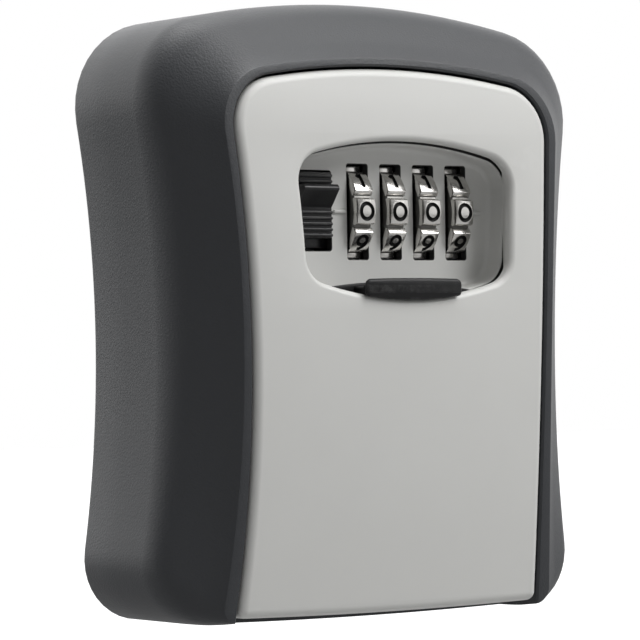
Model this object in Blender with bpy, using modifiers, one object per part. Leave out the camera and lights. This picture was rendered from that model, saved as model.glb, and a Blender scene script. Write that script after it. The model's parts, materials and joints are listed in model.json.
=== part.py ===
"""Key cabinet: a wall-mounted key box with four code wheels, a sliding latch and a weather shutter.

Frame: origin on the wall face at the middle of the box, +Z up, +Y into the wall, so the front faces -Y.
"Depth" below is the distance in front of the wall, so a point at a depth has y = -depth.
"""
import bpy
import bmesh
import math
from mathutils import Vector, Matrix

# Clearances, overruns and mesh counts
GAP = 0.0003
DOOR_GAP = 0.0005
DIAL_AIR = 0.0002
OVERRUN = 0.0050
FAR = 0.0300
MIN_CORNER = 0.0003
WELD = 0.00001
BOTTOM_STEPS = 4
CORNER_STEPS = 5
SIDE_STEPS = 12
TOP_STEPS = 6
RIDGE_STEPS = 4
ROLL_STEPS = 3
ROUND_SIDES = 24
SMALL_SIDES = 14
SMOOTH_ANGLE = math.radians(32)

# Case jacket
CASE_TOP = 0.060
CASE_BOTTOM = -0.060
CASE_HALF = 0.0472
CASE_WAIST_Z = -0.006
CASE_SIDE_R = 0.250
CASE_TOP_R = 0.190
CASE_BOTTOM_R = 1.300
CASE_CORNER_TOP = 0.017
CASE_CORNER_BOTTOM = 0.012
CASE_WALL = 0.0024
BACK_TAPER = 0.0008
BACK_EDGE = 0.0008
RIDGE_BACK = 0.0115
RIDGE_BOW = 0.0012
RIDGE_ROUND = 0.0045
RIDGE_BLEND_SHARE = 0.32
LIP_SIDE = 0.0027
LIP_WAIST_Z = -0.014
LIP_SIDE_R = 0.400
LIP_HEAD = 0.0023
LIP_TOP_R = 0.180
LIP_FOOT = 0.0006
LIP_CORNER_TOP = 0.012
LIP_CORNER_BOTTOM = 0.003
LIP_STEP = 0.0006
LIP_BOW = 0.0049
LIP_BOW_Z = 0.0024
LIP_EDGE = 0.0006
LEDGE_THICK = 0.0018
LEDGE_AIR = 0.0006
RETURN_WALL = 0.0035
HOLLOW_RISE = 0.0060
HOLLOW_STEP = 0.0016
HOLLOW_CORNER = 0.0060
HOLLOW_RIDGE_DROP = 0.0009
HOLLOW_LIP_DROP = 0.0051
HOLLOW_FLAT = 0.0004
MOUTH_STEP = 0.0003

# Door outline and face
DOOR_SIDE = 0.0125
DOOR_WAIST_Z = -0.021
DOOR_SIDE_R = 0.550
DOOR_HEAD = 0.0135
DOOR_TOP_R = 0.176
DOOR_FOOT = 0.0015
DOOR_CORNER_TOP = 0.010
DOOR_CORNER_BOTTOM = 0.0016
DOOR_DEPTH = 0.0386
DOOR_BOW = 0.0051
DOOR_BOW_Z = 0.0014
BOW_REACH = 0.059
DOOR_SKIN = 0.0020
DOOR_SKIRT = 0.0022
DOOR_EDGE_R = 0.0016

# Window in the door
WINDOW_SIDE = 0.0118
WINDOW_WAIST_Z = -0.020
WINDOW_HEAD = 0.0141
WINDOW_HEIGHT = 0.0302
WINDOW_TOP_R = 0.120
WINDOW_BOTTOM_R = 0.400
WINDOW_CORNER_TOP = 0.0050
WINDOW_CORNER_BOTTOM = 0.0065
WINDOW_ROLL_R = 0.0015

# Wheels and their shaft
DIAL_COUNT = 4
DIAL_MIDDLE_X = 0.007875
DIAL_DROP = 0.0133
DIAL_FACES = 10
DIAL_WIDTH = 0.0044
DIAL_SPACE = 0.00075
DIAL_PAD_R = 0.0102
DIAL_PAD_HALF = 0.0024
DIAL_GROOVE = 0.0010
DIAL_GROOVE_HALF = 0.00262
DIAL_EDGE = 0.0003
DIAL_BORE_R = 0.0042
CLUTCH_R = 0.0051
CLUTCH_HALF = 0.0006
CLUTCH_LENGTH = 0.0015
SHAFT_R = 0.0016
SHAFT_END = 0.0004
SHAFT_REACH = 0.0014
SLEEVE_INSET = 0.0002
CAM_LAP = 0.0001
CAM_R = 0.0052
CAM_AIR = 0.0004
CAM_WIDTH = 0.0009
CAM_GATE_HALF = 0.0012
CAM_GATE_DEPTH = 0.0022
KEY_LENGTH = 0.0010
KEY_SIDE_GAP = 0.0003
KEY_REACH = 0.0009

# Dial panel
PANEL_THICK = 0.0016
PANEL_DISH = 0.0030
PANEL_AIR = 0.0005
PANEL_OUT = 0.0034
PANEL_WALL = 0.0012
PANEL_LIP_IN = 0.0022
PANEL_ROLL = 0.0026
SLOT_SIDE_GAP = 0.00025
SLOT_END_GAP = 0.00035
MARK_HEIGHT = 0.0007
MARK_RISE = 0.0005
MARK_LEFT_LENGTH = 0.0029
MARK_RIGHT_LENGTH = 0.0016
MARK_GAP = 0.0006
MARK_LEVER_GAP = 0.00075
MARK_SINK = 0.0004

# Door chassis
CHASSIS_INSET = 0.0002
CHASSIS_THICK = 0.0020
BOX_SIDE = 0.0010
BOX_END = 0.00045
BOX_HEAD = 0.0037
BOX_WALL = 0.0020
BOX_JOIN = 0.0010
POST_R = 0.0022
POST_INSET = 0.0006
POST_INSET_Z = 0.0008
RIB_AIR = 0.0012
RIB_WIDTH = 0.0018
RIB_RISE = 0.0035
RIB_REACH = 0.0078
RAIL_INSET = 0.0003
RAIL_WIDTH = 0.0025
RAIL_AIR = 0.0004
KNUCKLE_R = 0.0030
KNUCKLE_LENGTH = 0.0085
KNUCKLE_BORE_GAP = 0.0002

# Cover over the wheels, its screws and the code-change lever
COVER_THICK = 0.0015
SCREW_R = 0.0010
SCREW_LENGTH = 0.0060
SCREW_HEAD_R = 0.0020
SCREW_HEAD = 0.0009
RESET_AIR = 0.0007
RESET_THICK = 0.0015
RESET_HALF = 0.0025
RESET_ROOT = 0.0011
RESET_WRAP = 0.0024
RESET_THUMB_SIDE = 0.0017
RESET_THUMB_THICK = 0.0023
RESET_TRAVEL = 0.0016

# Latch and open lever
LATCH_TRAVEL = 0.0022
LATCH_THICK = 0.0015
LATCH_AIR = 0.0011
LATCH_BAR_AIR = 0.0004
LATCH_BAR_WIDTH = 0.0036
LATCH_END_GAP = 0.0005
ARM_AIR = 0.0004
ARM_FOOT = 0.0017
NOSE_HALF = 0.0050
NOSE_GAP = 0.0004
TOOTH_AIR = 0.0004
TOOTH_SIDE = 0.0001
LEVER_SPACE = 0.0017
LEVER_WIDTH = 0.0086
LEVER_SLOT_DROP = 0.0076
LEVER_SLOT_RISE = 0.0078
LEVER_LAP = 0.0008
LEVER_LAP_TOP = 0.0015
LEVER_LAP_BOTTOM = 0.0019
LEVER_STOP_GAP = 0.0002
LEVER_FACE_SINK = 0.0001
LEVER_RIB_RISE = 0.0006
LEVER_RIB_PITCH = 0.0011
LEVER_RIB_SHARE = 0.5
LEVER_TAB_DROP = 0.0027
LEVER_TAB_THICK = 0.0013
LEVER_TAB_HEIGHT = 0.0042
LEVER_TAB_REACH = 0.0028
STEM_HALF = 0.0021
STEM_HALF_HEIGHT = 0.0030
LEVER_SCREW_R = 0.0009
LEVER_SCREW_HEAD_R = 0.0017
LEVER_SCREW_HEAD = 0.0008
LEVER_SCREW_LENGTH = 0.0042
SPRING_R = 0.0016
SPRING_WIRE_R = 0.0003
SPRING_TURNS = 4
SPRING_POINTS = 12
DETENT_THICK = 0.0004
DETENT_STRIP = 0.0030
DETENT_INSET = 0.0011
DETENT_FINGER_HALF = 0.0012
DETENT_REACH = 0.0019
DETENT_BUMP_R = 0.00035
DETENT_BUMP_RISE = 0.0001

# Weather shutter
SHUTTER_AIR = 0.0010
SHUTTER_THICK = 0.0014
SHUTTER_SIDE = 0.0039
SHUTTER_SIDE_R = 20.0
SHUTTER_LAP = 0.0032
SHUTTER_HEIGHT = 0.0309
SHUTTER_CORNER = 0.0020
SHUTTER_EDGE = 0.0004
SHUTTER_TRAVEL = 0.0262
TAB_HALF = 0.0112
TAB_PROUD = 0.0011
TAB_CROWN = 0.0009
TAB_UNDERCUT = 0.0010
TAB_FOOT_GAP = 0.0004
TAB_HEIGHT = 0.0020
TAB_LOW = 0.0007
TAB_HIGH = 0.0014
TAB_EDGE = 0.0006
GUIDE_WIDTH = 0.0015
GUIDE_BELOW = 0.0015
GUIDE_ABOVE = 0.0024

# Hinge, compartment, keeper and wall fixings
HINGE_RISE = 0.0045
HINGE_STEP = 0.0020
PIN_R = 0.0015
MOUTH_RISE = 0.0040
TRAY_CORNER_BOTTOM = 0.0060
TRAY_INNER = 0.0019
TRAY_WALL = 0.0012
TRAY_FLANGE = 0.0040
TRAY_DRAFT = 0.0008
SEAL_OUT = 0.0001
SEAL_WIDTH = 0.0018
SEAL_EDGE = 0.0004
PLATE_THICK = 0.0020
WALL_HOLE_R = 0.0026
WALL_HOLE_X = 0.0220
WALL_HOLE_HEAD = 0.0260
WALL_HOLE_FOOT = 0.0200
KEEPER_HALF = 0.0090
KEEPER_HEIGHT = 0.0035
KEEPER_THICK = 0.0018
KEEPER_AIR = 0.0004
RIVET_X = 0.0060
RIVET_R = 0.0009
RIVET_HEAD_R = 0.0015
RIVET_HEAD = 0.0006
RIVET_GRIP = 0.0026
HOOK_DROP = 0.0130
HOOK_R = 0.0010
HOOK_FLANGE_R = 0.0032
HOOK_FLANGE = 0.0008
HOOK_REACH = 0.0075
HOOK_BEND = 0.0022
HOOK_TIP = 0.0030
HOOK_BEND_STEPS = 5

for old in list(bpy.data.objects):
    bpy.data.objects.remove(old, do_unlink=True)

parts = bpy.data.collections.new("key_cabinet")
cutters = bpy.data.collections.new("cutters")
bpy.context.scene.collection.children.link(parts)
bpy.context.scene.collection.children.link(cutters)


# Outlines: a waisted shape with two hollow sides, an arched top and a nearly straight foot
def outline(half, waist_z, side_r, top, top_r, bottom, bottom_r, corner_top, corner_bottom):
    return dict(half=half, waist_z=waist_z, side_r=side_r, top=top, top_r=top_r, bottom=bottom,
                bottom_r=bottom_r, corner_top=corner_top, corner_bottom=corner_bottom)


door_half = CASE_HALF - DOOR_SIDE
door_top = CASE_TOP - DOOR_HEAD
door_bottom = CASE_BOTTOM + DOOR_FOOT
window_top = door_top - WINDOW_HEAD
window_bottom = window_top - WINDOW_HEIGHT
hinge_z = door_bottom + HINGE_RISE
mouth_bottom = hinge_z + MOUTH_RISE
CASE = outline(CASE_HALF, CASE_WAIST_Z, CASE_SIDE_R, CASE_TOP, CASE_TOP_R, CASE_BOTTOM,
               CASE_BOTTOM_R, CASE_CORNER_TOP, CASE_CORNER_BOTTOM)
CASE_REAR = dict(CASE, half=CASE_HALF - BACK_TAPER)
LIP = outline(door_half + LIP_SIDE, LIP_WAIST_Z, LIP_SIDE_R, door_top + LIP_HEAD, LIP_TOP_R,
              CASE_BOTTOM + LIP_FOOT, CASE_BOTTOM_R, LIP_CORNER_TOP, LIP_CORNER_BOTTOM)
DOOR = outline(door_half, DOOR_WAIST_Z, DOOR_SIDE_R, door_top, DOOR_TOP_R, door_bottom,
               CASE_BOTTOM_R, DOOR_CORNER_TOP, DOOR_CORNER_BOTTOM)
WINDOW = outline(door_half - WINDOW_SIDE, WINDOW_WAIST_Z, DOOR_SIDE_R, window_top, WINDOW_TOP_R,
                 window_bottom, WINDOW_BOTTOM_R, WINDOW_CORNER_TOP, WINDOW_CORNER_BOTTOM)
TRAY = dict(DOOR, bottom=mouth_bottom + GAP, corner_bottom=TRAY_CORNER_BOTTOM)


def circle_cross(c0, r0, c1, r1, pick):
    """One crossing of two circles: the one furthest up for pick 1, furthest down for pick -1."""
    line = c1 - c0
    reach = line.length
    along = (r0 * r0 - r1 * r1 + reach * reach) / (reach + reach)
    rise = math.sqrt(max(r0 * r0 - along * along, 0))
    base = c0 + line * (along / reach)
    side = Vector((-line.y, line.x)) * (rise / reach)
    return max((base + side, base - side), key=lambda p: p.y * pick)


def arc(centre, start, end, steps):
    """Points from start towards end around centre, without the end point."""
    a0 = math.atan2(start.y - centre.y, start.x - centre.x)
    a1 = math.atan2(end.y - centre.y, end.x - centre.x)
    turn = (a1 - a0 + math.pi) % math.tau - math.pi
    radius = (start - centre).length
    spots = (a0 + turn * i / steps for i in range(steps))
    return [centre + Vector((math.cos(a), math.sin(a))) * radius for a in spots]


def half_points(shape, grow):
    """Right half of an outline grown by a distance, from the middle of the foot to the top."""
    side_c = Vector((shape["half"] + shape["side_r"], shape["waist_z"]))
    top_c = Vector((0, shape["top"] - shape["top_r"]))
    foot_c = Vector((0, shape["bottom"] + shape["bottom_r"]))
    side_r = shape["side_r"] - grow
    top_r = shape["top_r"] + grow
    foot_r = shape["bottom_r"] + grow
    r_top = max(shape["corner_top"] + grow, MIN_CORNER)
    r_foot = max(shape["corner_bottom"] + grow, MIN_CORNER)
    k_top = circle_cross(side_c, side_r + r_top, top_c, top_r - r_top, 1)
    k_foot = circle_cross(side_c, side_r + r_foot, foot_c, foot_r - r_foot, -1)
    foot_mid = foot_c - Vector((0, foot_r))
    top_mid = top_c + Vector((0, top_r))
    foot_end = foot_c + (k_foot - foot_c).normalized() * foot_r
    side_start = side_c + (k_foot - side_c).normalized() * side_r
    side_end = side_c + (k_top - side_c).normalized() * side_r
    top_start = top_c + (k_top - top_c).normalized() * top_r
    points = arc(foot_c, foot_mid, foot_end, BOTTOM_STEPS)
    points += arc(k_foot, foot_end, side_start, CORNER_STEPS)
    points += arc(side_c, side_start, side_end, SIDE_STEPS)
    points += arc(k_top, side_end, top_start, CORNER_STEPS)
    points += arc(top_c, top_start, top_mid, TOP_STEPS)
    return points + [top_mid]


def ring(shape, grow, depth):
    """A closed loop of points; depth is a length, or a function of the height."""
    right = half_points(shape, grow)
    flat = right + [Vector((-p.x, p.y)) for p in reversed(right[1:-1])]
    return [Vector((p.x, -(depth(p.y) if callable(depth) else depth), p.y)) for p in flat]


def blend(ring_a, ring_b, share):
    return [a.lerp(b, share) for a, b in zip(ring_a, ring_b)]


def bowed(depth, bow, middle):
    """Depth of a face that is furthest forward at one height and falls back above and below it."""
    return lambda z: depth - bow * ((z - middle) / BOW_REACH) ** 2


def shifted(face, drop):
    return lambda z: face(z) - drop


def about(middle, half):
    return (middle - half, middle + half)


def quarter(steps):
    """The angles of a rounding in equal steps, from the side of an edge to its face."""
    return [math.pi / 2 * step / steps for step in range(steps + 1)]


# Depths, from the door's face back to the wall, and the shutter that the face leaves room for
lip_depth = DOOR_DEPTH - LIP_STEP
ridge_at = bowed(DOOR_DEPTH - RIDGE_BACK, RIDGE_BOW, 0)
lip_at = bowed(lip_depth, LIP_BOW, LIP_BOW_Z)
door_at = bowed(DOOR_DEPTH, DOOR_BOW, DOOR_BOW_Z)
shutter_top = window_bottom + SHUTTER_LAP
shutter_bottom = shutter_top - SHUTTER_HEIGHT
skin_low = min(door_at(shutter_top + SHUTTER_TRAVEL), door_at(shutter_bottom)) - DOOR_SKIN
shutter_front = skin_low - SHUTTER_AIR
shutter_back = shutter_front - SHUTTER_THICK
panel_rim = shutter_back - PANEL_AIR
panel_floor = panel_rim - PANEL_DISH
panel_back = panel_floor - PANEL_THICK
chassis_front = panel_back - LEVER_SPACE
chassis_back = chassis_front - CHASSIS_THICK
skirt_back = chassis_front + GAP
latch_front = chassis_back - LATCH_AIR
latch_back = latch_front - LATCH_THICK
ledge_front = latch_back - LEDGE_AIR
ledge_back = ledge_front - LEDGE_THICK
hinge_depth = chassis_front + HINGE_STEP
dial_corner_r = math.hypot(DIAL_PAD_R, DIAL_PAD_HALF)
dial_depth = shutter_back - dial_corner_r - DIAL_AIR
cover_front = dial_depth - dial_corner_r - DIAL_AIR
cover_back = cover_front - COVER_THICK
box_back = cover_front + GAP

# Places along the wheels' shaft, from left to right, and heights in the wheel box
dial_z = window_top - DIAL_DROP
cam_start = DIAL_WIDTH / 2 + CAM_AIR
dial_pitch = DIAL_WIDTH + CAM_AIR + CAM_WIDTH + RESET_TRAVEL + DIAL_SPACE
dial_xs = [DIAL_MIDDLE_X + dial_pitch * (i - (DIAL_COUNT - 1) / 2) for i in range(DIAL_COUNT)]
slot_half = DIAL_WIDTH / 2 + SLOT_SIDE_GAP
left_mark_end = dial_xs[0] - slot_half - MARK_GAP
lever_slot_right = left_mark_end - MARK_LEFT_LENGTH - MARK_LEVER_GAP
lever_slot_left = lever_slot_right - LEVER_WIDTH
lever_base_left = lever_slot_left - LEVER_LAP
latch_left = lever_base_left - GAP
box_left = latch_left - BOX_SIDE
box_right = dial_xs[-1] + cam_start + CAM_WIDTH + RESET_TRAVEL + BOX_END
reset_x = dial_xs[0] - DIAL_WIDTH / 2 - RESET_AIR - RESET_TRAVEL - RESET_THICK
rib_left = reset_x - RIB_AIR - RIB_WIDTH
shaft_left = rib_left - SHAFT_END
arm_right = shaft_left - ARM_AIR
detent_low = dial_z - dial_corner_r - DIAL_AIR - DETENT_BUMP_R - DETENT_BUMP_RISE - DETENT_THICK
box_bottom = detent_low - GAP
bar_bottom = dial_z + dial_corner_r + LATCH_TRAVEL + LATCH_BAR_AIR
bar_top = bar_bottom + LATCH_BAR_WIDTH
box_top = bar_top + BOX_HEAD
nose_top = door_top
keeper_bottom = nose_top + NOSE_GAP
keeper_top = keeper_bottom + KEEPER_HEIGHT
keeper_back = latch_front + KEEPER_AIR
keeper_front = keeper_back + KEEPER_THICK


# Building blocks
def make_object(name, bm, collection, material=None):
    bmesh.ops.recalc_face_normals(bm, faces=bm.faces)
    mesh = bpy.data.meshes.new(name)
    bm.to_mesh(mesh)
    bm.free()
    mesh.shade_smooth()
    mesh.set_sharp_from_angle(angle=SMOOTH_ANGLE)
    if material:
        mesh.materials.append(material)
    obj = bpy.data.objects.new(name, mesh)
    collection.objects.link(obj)
    if collection is cutters:
        obj.hide_render = True
        obj.display_type = 'WIRE'
    return obj


def loft(name, rings, collection=cutters, material=None):
    """A closed body through a row of matching rings, with a cap of cross strips at each end."""
    bm = bmesh.new()
    loops = [[bm.verts.new(p) for p in points] for points in rings]
    count = len(loops[0])
    for near, far in zip(loops, loops[1:]):
        for i in range(count):
            j = (i + 1) % count
            bm.faces.new((near[i], near[j], far[j], far[i]))
    for end in (loops[0], loops[-1]):
        for i in range(count // 2):
            corners = [end[i], end[i + 1], end[count - i - 1], end[(count - i) % count]]
            bm.faces.new(list(dict.fromkeys(corners)))
    return make_object(name, bm, collection, material)


def block(name, x, depth, z, collection=cutters, material=None):
    """A box between pairs of x, depth and z."""
    bm = bmesh.new()
    bmesh.ops.create_cube(bm, size=1)
    low = Vector((x[0], -depth[1], z[0]))
    high = Vector((x[1], -depth[0], z[1]))
    fit = Matrix.Translation((low + high) / 2) @ Matrix.Diagonal((*(high - low), 1))
    bmesh.ops.transform(bm, matrix=fit, verts=bm.verts)
    return make_object(name, bm, collection, material)


def rod(name, radius, start, end, collection=cutters, material=None, sides=SMALL_SIDES):
    """A round bar between two points given as x, depth and z."""
    low = Vector((start[0], -start[1], start[2]))
    high = Vector((end[0], -end[1], end[2]))
    bm = bmesh.new()
    bmesh.ops.create_cone(bm, cap_ends=True, segments=sides, radius1=radius, radius2=radius,
                          depth=(high - low).length)
    turn = (high - low).to_track_quat('Z', 'Y').to_matrix().to_4x4()
    bmesh.ops.transform(bm, matrix=Matrix.Translation((low + high) / 2) @ turn, verts=bm.verts)
    return make_object(name, bm, collection, material)


def hinge_rod(name, radius, x, collection=cutters, material=None):
    return rod(name, radius, (x[0], hinge_depth, hinge_z), (x[1], hinge_depth, hinge_z),
               collection, material, ROUND_SIDES)


def shaft_rod(name, radius, x, collection=cutters, material=None, sides=SMALL_SIDES):
    return rod(name, radius, (x[0], dial_depth, dial_z), (x[1], dial_depth, dial_z),
               collection, material, sides)


def peg(name, radius, x, z, depth, collection=cutters, material=None):
    return rod(name, radius, (x, depth[0], z), (x, depth[1], z), collection, material)


def headed_peg(name, x, z, head, shank, material):
    """A screw or rivet: head and shank are each a radius, a back depth and a front depth."""
    body = peg(name, head[0], x, z, (head[1], head[2]), parts, material)
    join(body, peg(name + "_shank", shank[0], x, z, ((head[1] + head[2]) / 2, shank[1])))
    return body


def prism(name, points, x, collection=cutters, material=None):
    """A flat outline of depth and z points, drawn out along x."""
    bm = bmesh.new()
    face = bm.faces.new([bm.verts.new((x[0], -depth, z)) for depth, z in points])
    moved = bmesh.ops.extrude_face_region(bm, geom=[face])
    verts = [v for v in moved["geom"] if isinstance(v, bmesh.types.BMVert)]
    bmesh.ops.translate(bm, vec=(x[1] - x[0], 0, 0), verts=verts)
    return make_object(name, bm, collection, material)


def wire(name, points, radius, smooth, collection, material=None):
    """A round wire along x, depth and z points, with its end caps welded on."""
    curve = bpy.data.curves.new(name + "_path", 'CURVE')
    curve.dimensions = '3D'
    curve.bevel_depth = radius
    curve.bevel_resolution = smooth
    curve.use_fill_caps = True
    line = curve.splines.new('POLY')
    line.points.add(len(points) - 1)
    for spot, (x, depth, z) in zip(line.points, points):
        spot.co = (x, -depth, z, 1)
    path = bpy.data.objects.new(name + "_path", curve)
    bpy.context.scene.collection.objects.link(path)
    bpy.context.view_layer.update()
    mesh = bpy.data.meshes.new_from_object(path.evaluated_get(bpy.context.evaluated_depsgraph_get()))
    bpy.data.objects.remove(path, do_unlink=True)
    bm = bmesh.new()
    bm.from_mesh(mesh)
    bmesh.ops.remove_doubles(bm, verts=bm.verts, dist=WELD)
    bpy.data.meshes.remove(mesh)
    return make_object(name, bm, collection, material)


def boolean(obj, other, operation):
    step = obj.modifiers.new(operation.lower(), 'BOOLEAN')
    step.operation = operation
    step.solver = 'EXACT'
    step.object = other


def cut(obj, *others):
    for other in others:
        boolean(obj, other, 'DIFFERENCE')


def join(obj, *others):
    for other in others:
        boolean(obj, other, 'UNION')


def soften(obj, width):
    step = obj.modifiers.new("edge", 'BEVEL')
    step.width = width
    step.segments = 2
    step.limit_method = 'ANGLE'


def paint(name, colour, roughness, metallic):
    material = bpy.data.materials.new(name)
    material.use_nodes = True
    shader = material.node_tree.nodes["Principled BSDF"]
    shader.inputs["Base Color"].default_value = (*colour, 1)
    shader.inputs["Roughness"].default_value = roughness
    shader.inputs["Metallic"].default_value = metallic
    material.diffuse_color = (*colour, 1)
    return material


def place(obj, x, depth, z):
    """Puts an object's origin at a point without moving its mesh."""
    spot = Vector((x, -depth, z))
    obj.data.transform(Matrix.Translation(-spot))
    obj.location = spot


def world_of(obj):
    spot = Matrix.Translation(obj.location)
    if obj.parent:
        spot = world_of(obj.parent) @ obj.matrix_parent_inverse @ spot
    return spot


def carry(parent, *children):
    for child in children:
        child.parent = parent
        child.matrix_parent_inverse = world_of(parent).inverted()


def axis_empty(name, x, depth, z, parent=None):
    empty = bpy.data.objects.new(name, None)
    empty.empty_display_size = DIAL_WIDTH
    empty.location = Vector((x, -depth, z))
    parts.objects.link(empty)
    if parent:
        carry(parent, empty)
    return empty


# Case jacket: a skin that is open behind, with a pocket for the door and a hollow round it
JACKET = paint("case_shell", (0.060, 0.062, 0.066), 0.62, 0.0)
ridge_ring = ring(CASE, 0, ridge_at)
ridge_low = ring(CASE, 0, shifted(ridge_at, RIDGE_ROUND))
bezel_low = blend(ridge_ring, ring(LIP, 0, lip_at), RIDGE_BLEND_SHARE)
jacket_rings = [ring(CASE_REAR, -CASE_WALL, ledge_back), ring(CASE_REAR, -CASE_WALL, 0),
                ring(CASE_REAR, -BACK_EDGE, 0), ring(CASE_REAR, 0, BACK_EDGE)]
for step in range(RIDGE_STEPS + 1):
    share = step / RIDGE_STEPS
    side = blend(ridge_low, ridge_ring, share)
    jacket_rings.append(blend(side, blend(ridge_ring, bezel_low, share), share))
jacket_rings.append(ring(LIP, 0, shifted(lip_at, LIP_EDGE / 2)))
jacket_rings.append(ring(LIP, -LIP_EDGE, lip_at))
case_shell = loft("case_shell", jacket_rings, parts, JACKET)

pocket_shape = dict(DOOR, bottom=CASE_BOTTOM - OVERRUN)
pocket = loft("door_pocket", [ring(pocket_shape, DOOR_GAP, ledge_front),
                              ring(pocket_shape, DOOR_GAP, lip_depth + FAR)])
mouth_shape = dict(DOOR, bottom=mouth_bottom, corner_bottom=TRAY_CORNER_BOTTOM)
mouth = loft("tray_mouth", [ring(mouth_shape, DOOR_GAP - MOUTH_STEP, ledge_back - OVERRUN),
                            ring(mouth_shape, DOOR_GAP - MOUTH_STEP, ledge_front + OVERRUN)])
hollow_bottom = mouth_bottom + HOLLOW_RISE
hollow_out = dict(CASE, bottom=hollow_bottom, corner_bottom=HOLLOW_CORNER)
wall_side = RETURN_WALL + DOOR_GAP
hollow_in = dict(DOOR, bottom=hollow_bottom + CASE_WALL + wall_side + HOLLOW_STEP,
                 corner_bottom=HOLLOW_CORNER)
hollow_side = -CASE_WALL - HOLLOW_FLAT
groove = loft("jacket_hollow",
              [ring(dict(hollow_out, half=CASE_HALF - BACK_TAPER), hollow_side, ledge_back - OVERRUN),
               ring(hollow_out, hollow_side, shifted(ridge_at, HOLLOW_RIDGE_DROP)),
               ring(hollow_in, wall_side + HOLLOW_FLAT, shifted(lip_at, HOLLOW_LIP_DROP))])
cut(groove, loft("jacket_core", [ring(hollow_in, wall_side, ledge_back - FAR),
                                 ring(hollow_in, wall_side, lip_depth + FAR)]))
pin_half = door_half + wall_side
pin_hole = hinge_rod("pin_hole", PIN_R + GAP, about(0, pin_half + GAP))
keeper_recess = block("keeper_recess", about(0, KEEPER_HALF + GAP),
                      (ledge_back - OVERRUN, keeper_front + GAP), (door_top - GAP, keeper_top + GAP))
cut(case_shell, mouth, pocket, groove, pin_hole, keeper_recess)

# Back plate, compartment liner, its rubber seal and the hook
ZINC = paint("back_plate", (0.42, 0.43, 0.44), 0.45, 0.9)
STEEL = paint("key_tray", (0.36, 0.37, 0.38), 0.42, 0.9)
RUBBER = paint("tray_seal", (0.03, 0.03, 0.032), 0.8, 0.0)
back_plate = loft("back_plate", [ring(CASE_REAR, -CASE_WALL - GAP, 0),
                                 ring(CASE_REAR, -CASE_WALL - GAP, PLATE_THICK)], parts, ZINC)
tray_rim = -TRAY_INNER
tray_out = TRAY_WALL - TRAY_INNER
tray_back = PLATE_THICK + GAP
tray_floor = tray_back + TRAY_WALL
flange_front = ledge_back - GAP
flange_back = flange_front - TRAY_WALL
key_tray = loft("key_tray", [ring(TRAY, tray_rim - TRAY_DRAFT, tray_floor),
                             ring(TRAY, tray_rim, tray_floor + TRAY_DRAFT),
                             ring(TRAY, tray_rim, flange_front),
                             ring(TRAY, TRAY_FLANGE, flange_front),
                             ring(TRAY, TRAY_FLANGE, flange_back),
                             ring(TRAY, tray_out, flange_back),
                             ring(TRAY, tray_out, tray_back + TRAY_DRAFT),
                             ring(TRAY, tray_out - TRAY_DRAFT, tray_back)], parts, STEEL)
for x in (-WALL_HOLE_X, WALL_HOLE_X):
    for z in (CASE_TOP - WALL_HOLE_HEAD, CASE_BOTTOM + WALL_HOLE_FOOT):
        hole = peg("wall_hole", WALL_HOLE_R, x, z, (-OVERRUN, tray_floor + OVERRUN))
        cut(back_plate, hole)
        cut(key_tray, hole)
seal_back = flange_front + GAP
seal_front = ledge_front
seal_in = -SEAL_OUT - SEAL_WIDTH
tray_seal = loft("tray_seal", [ring(TRAY, -SEAL_OUT, seal_back),
                               ring(TRAY, -SEAL_OUT, seal_front - SEAL_EDGE),
                               ring(TRAY, -SEAL_OUT - SEAL_EDGE, seal_front)], parts, RUBBER)
cut(tray_seal, loft("seal_bore", [ring(TRAY, seal_in, seal_back - OVERRUN),
                                  ring(TRAY, seal_in, seal_front + OVERRUN)]))

hook_start = tray_floor + GAP
hook_root = hook_start + HOOK_FLANGE / 2
hook_z = box_bottom - HOOK_DROP
hook_bend_depth = hook_start + HOOK_REACH - HOOK_BEND
key_hook = peg("key_hook", HOOK_FLANGE_R, 0, hook_z, (hook_start, hook_start + HOOK_FLANGE), parts, STEEL)
hook_points = [(0, hook_root, hook_z)]
for angle in quarter(HOOK_BEND_STEPS):
    hook_points.append((0, hook_bend_depth + HOOK_BEND * math.sin(angle),
                        hook_z + HOOK_BEND - HOOK_BEND * math.cos(angle)))
hook_points.append((0, hook_start + HOOK_REACH, hook_z + HOOK_BEND + HOOK_TIP))
join(key_hook, wire("hook_wire", hook_points, HOOK_R, 2, cutters))

# Keeper above the latch nose, with two rivets, and the hinge pin
KEEPER = paint("keeper", (0.55, 0.55, 0.56), 0.35, 1.0)
keeper = block("keeper", about(0, KEEPER_HALF), (keeper_back, keeper_front), (keeper_bottom, keeper_top),
               parts, KEEPER)
rivet_z = (keeper_bottom + keeper_top) / 2
rivet_tip = keeper_front + RIVET_GRIP
rivet_head = keeper_back - GAP
for side, x in (("l", -RIVET_X), ("r", RIVET_X)):
    hole = peg("rivet_hole", RIVET_R + GAP, x, rivet_z, (keeper_back - OVERRUN, rivet_tip + GAP))
    cut(keeper, hole)
    cut(case_shell, hole)
    headed_peg("keeper_rivet_" + side, x, rivet_z, (RIVET_HEAD_R, rivet_head - RIVET_HEAD, rivet_head),
               (RIVET_R, rivet_tip), KEEPER)
PIN = paint("hinge_pin", (0.62, 0.62, 0.63), 0.25, 1.0)
hinge_pin = hinge_rod("hinge_pin", PIN_R, about(0, pin_half), parts, PIN)

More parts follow.
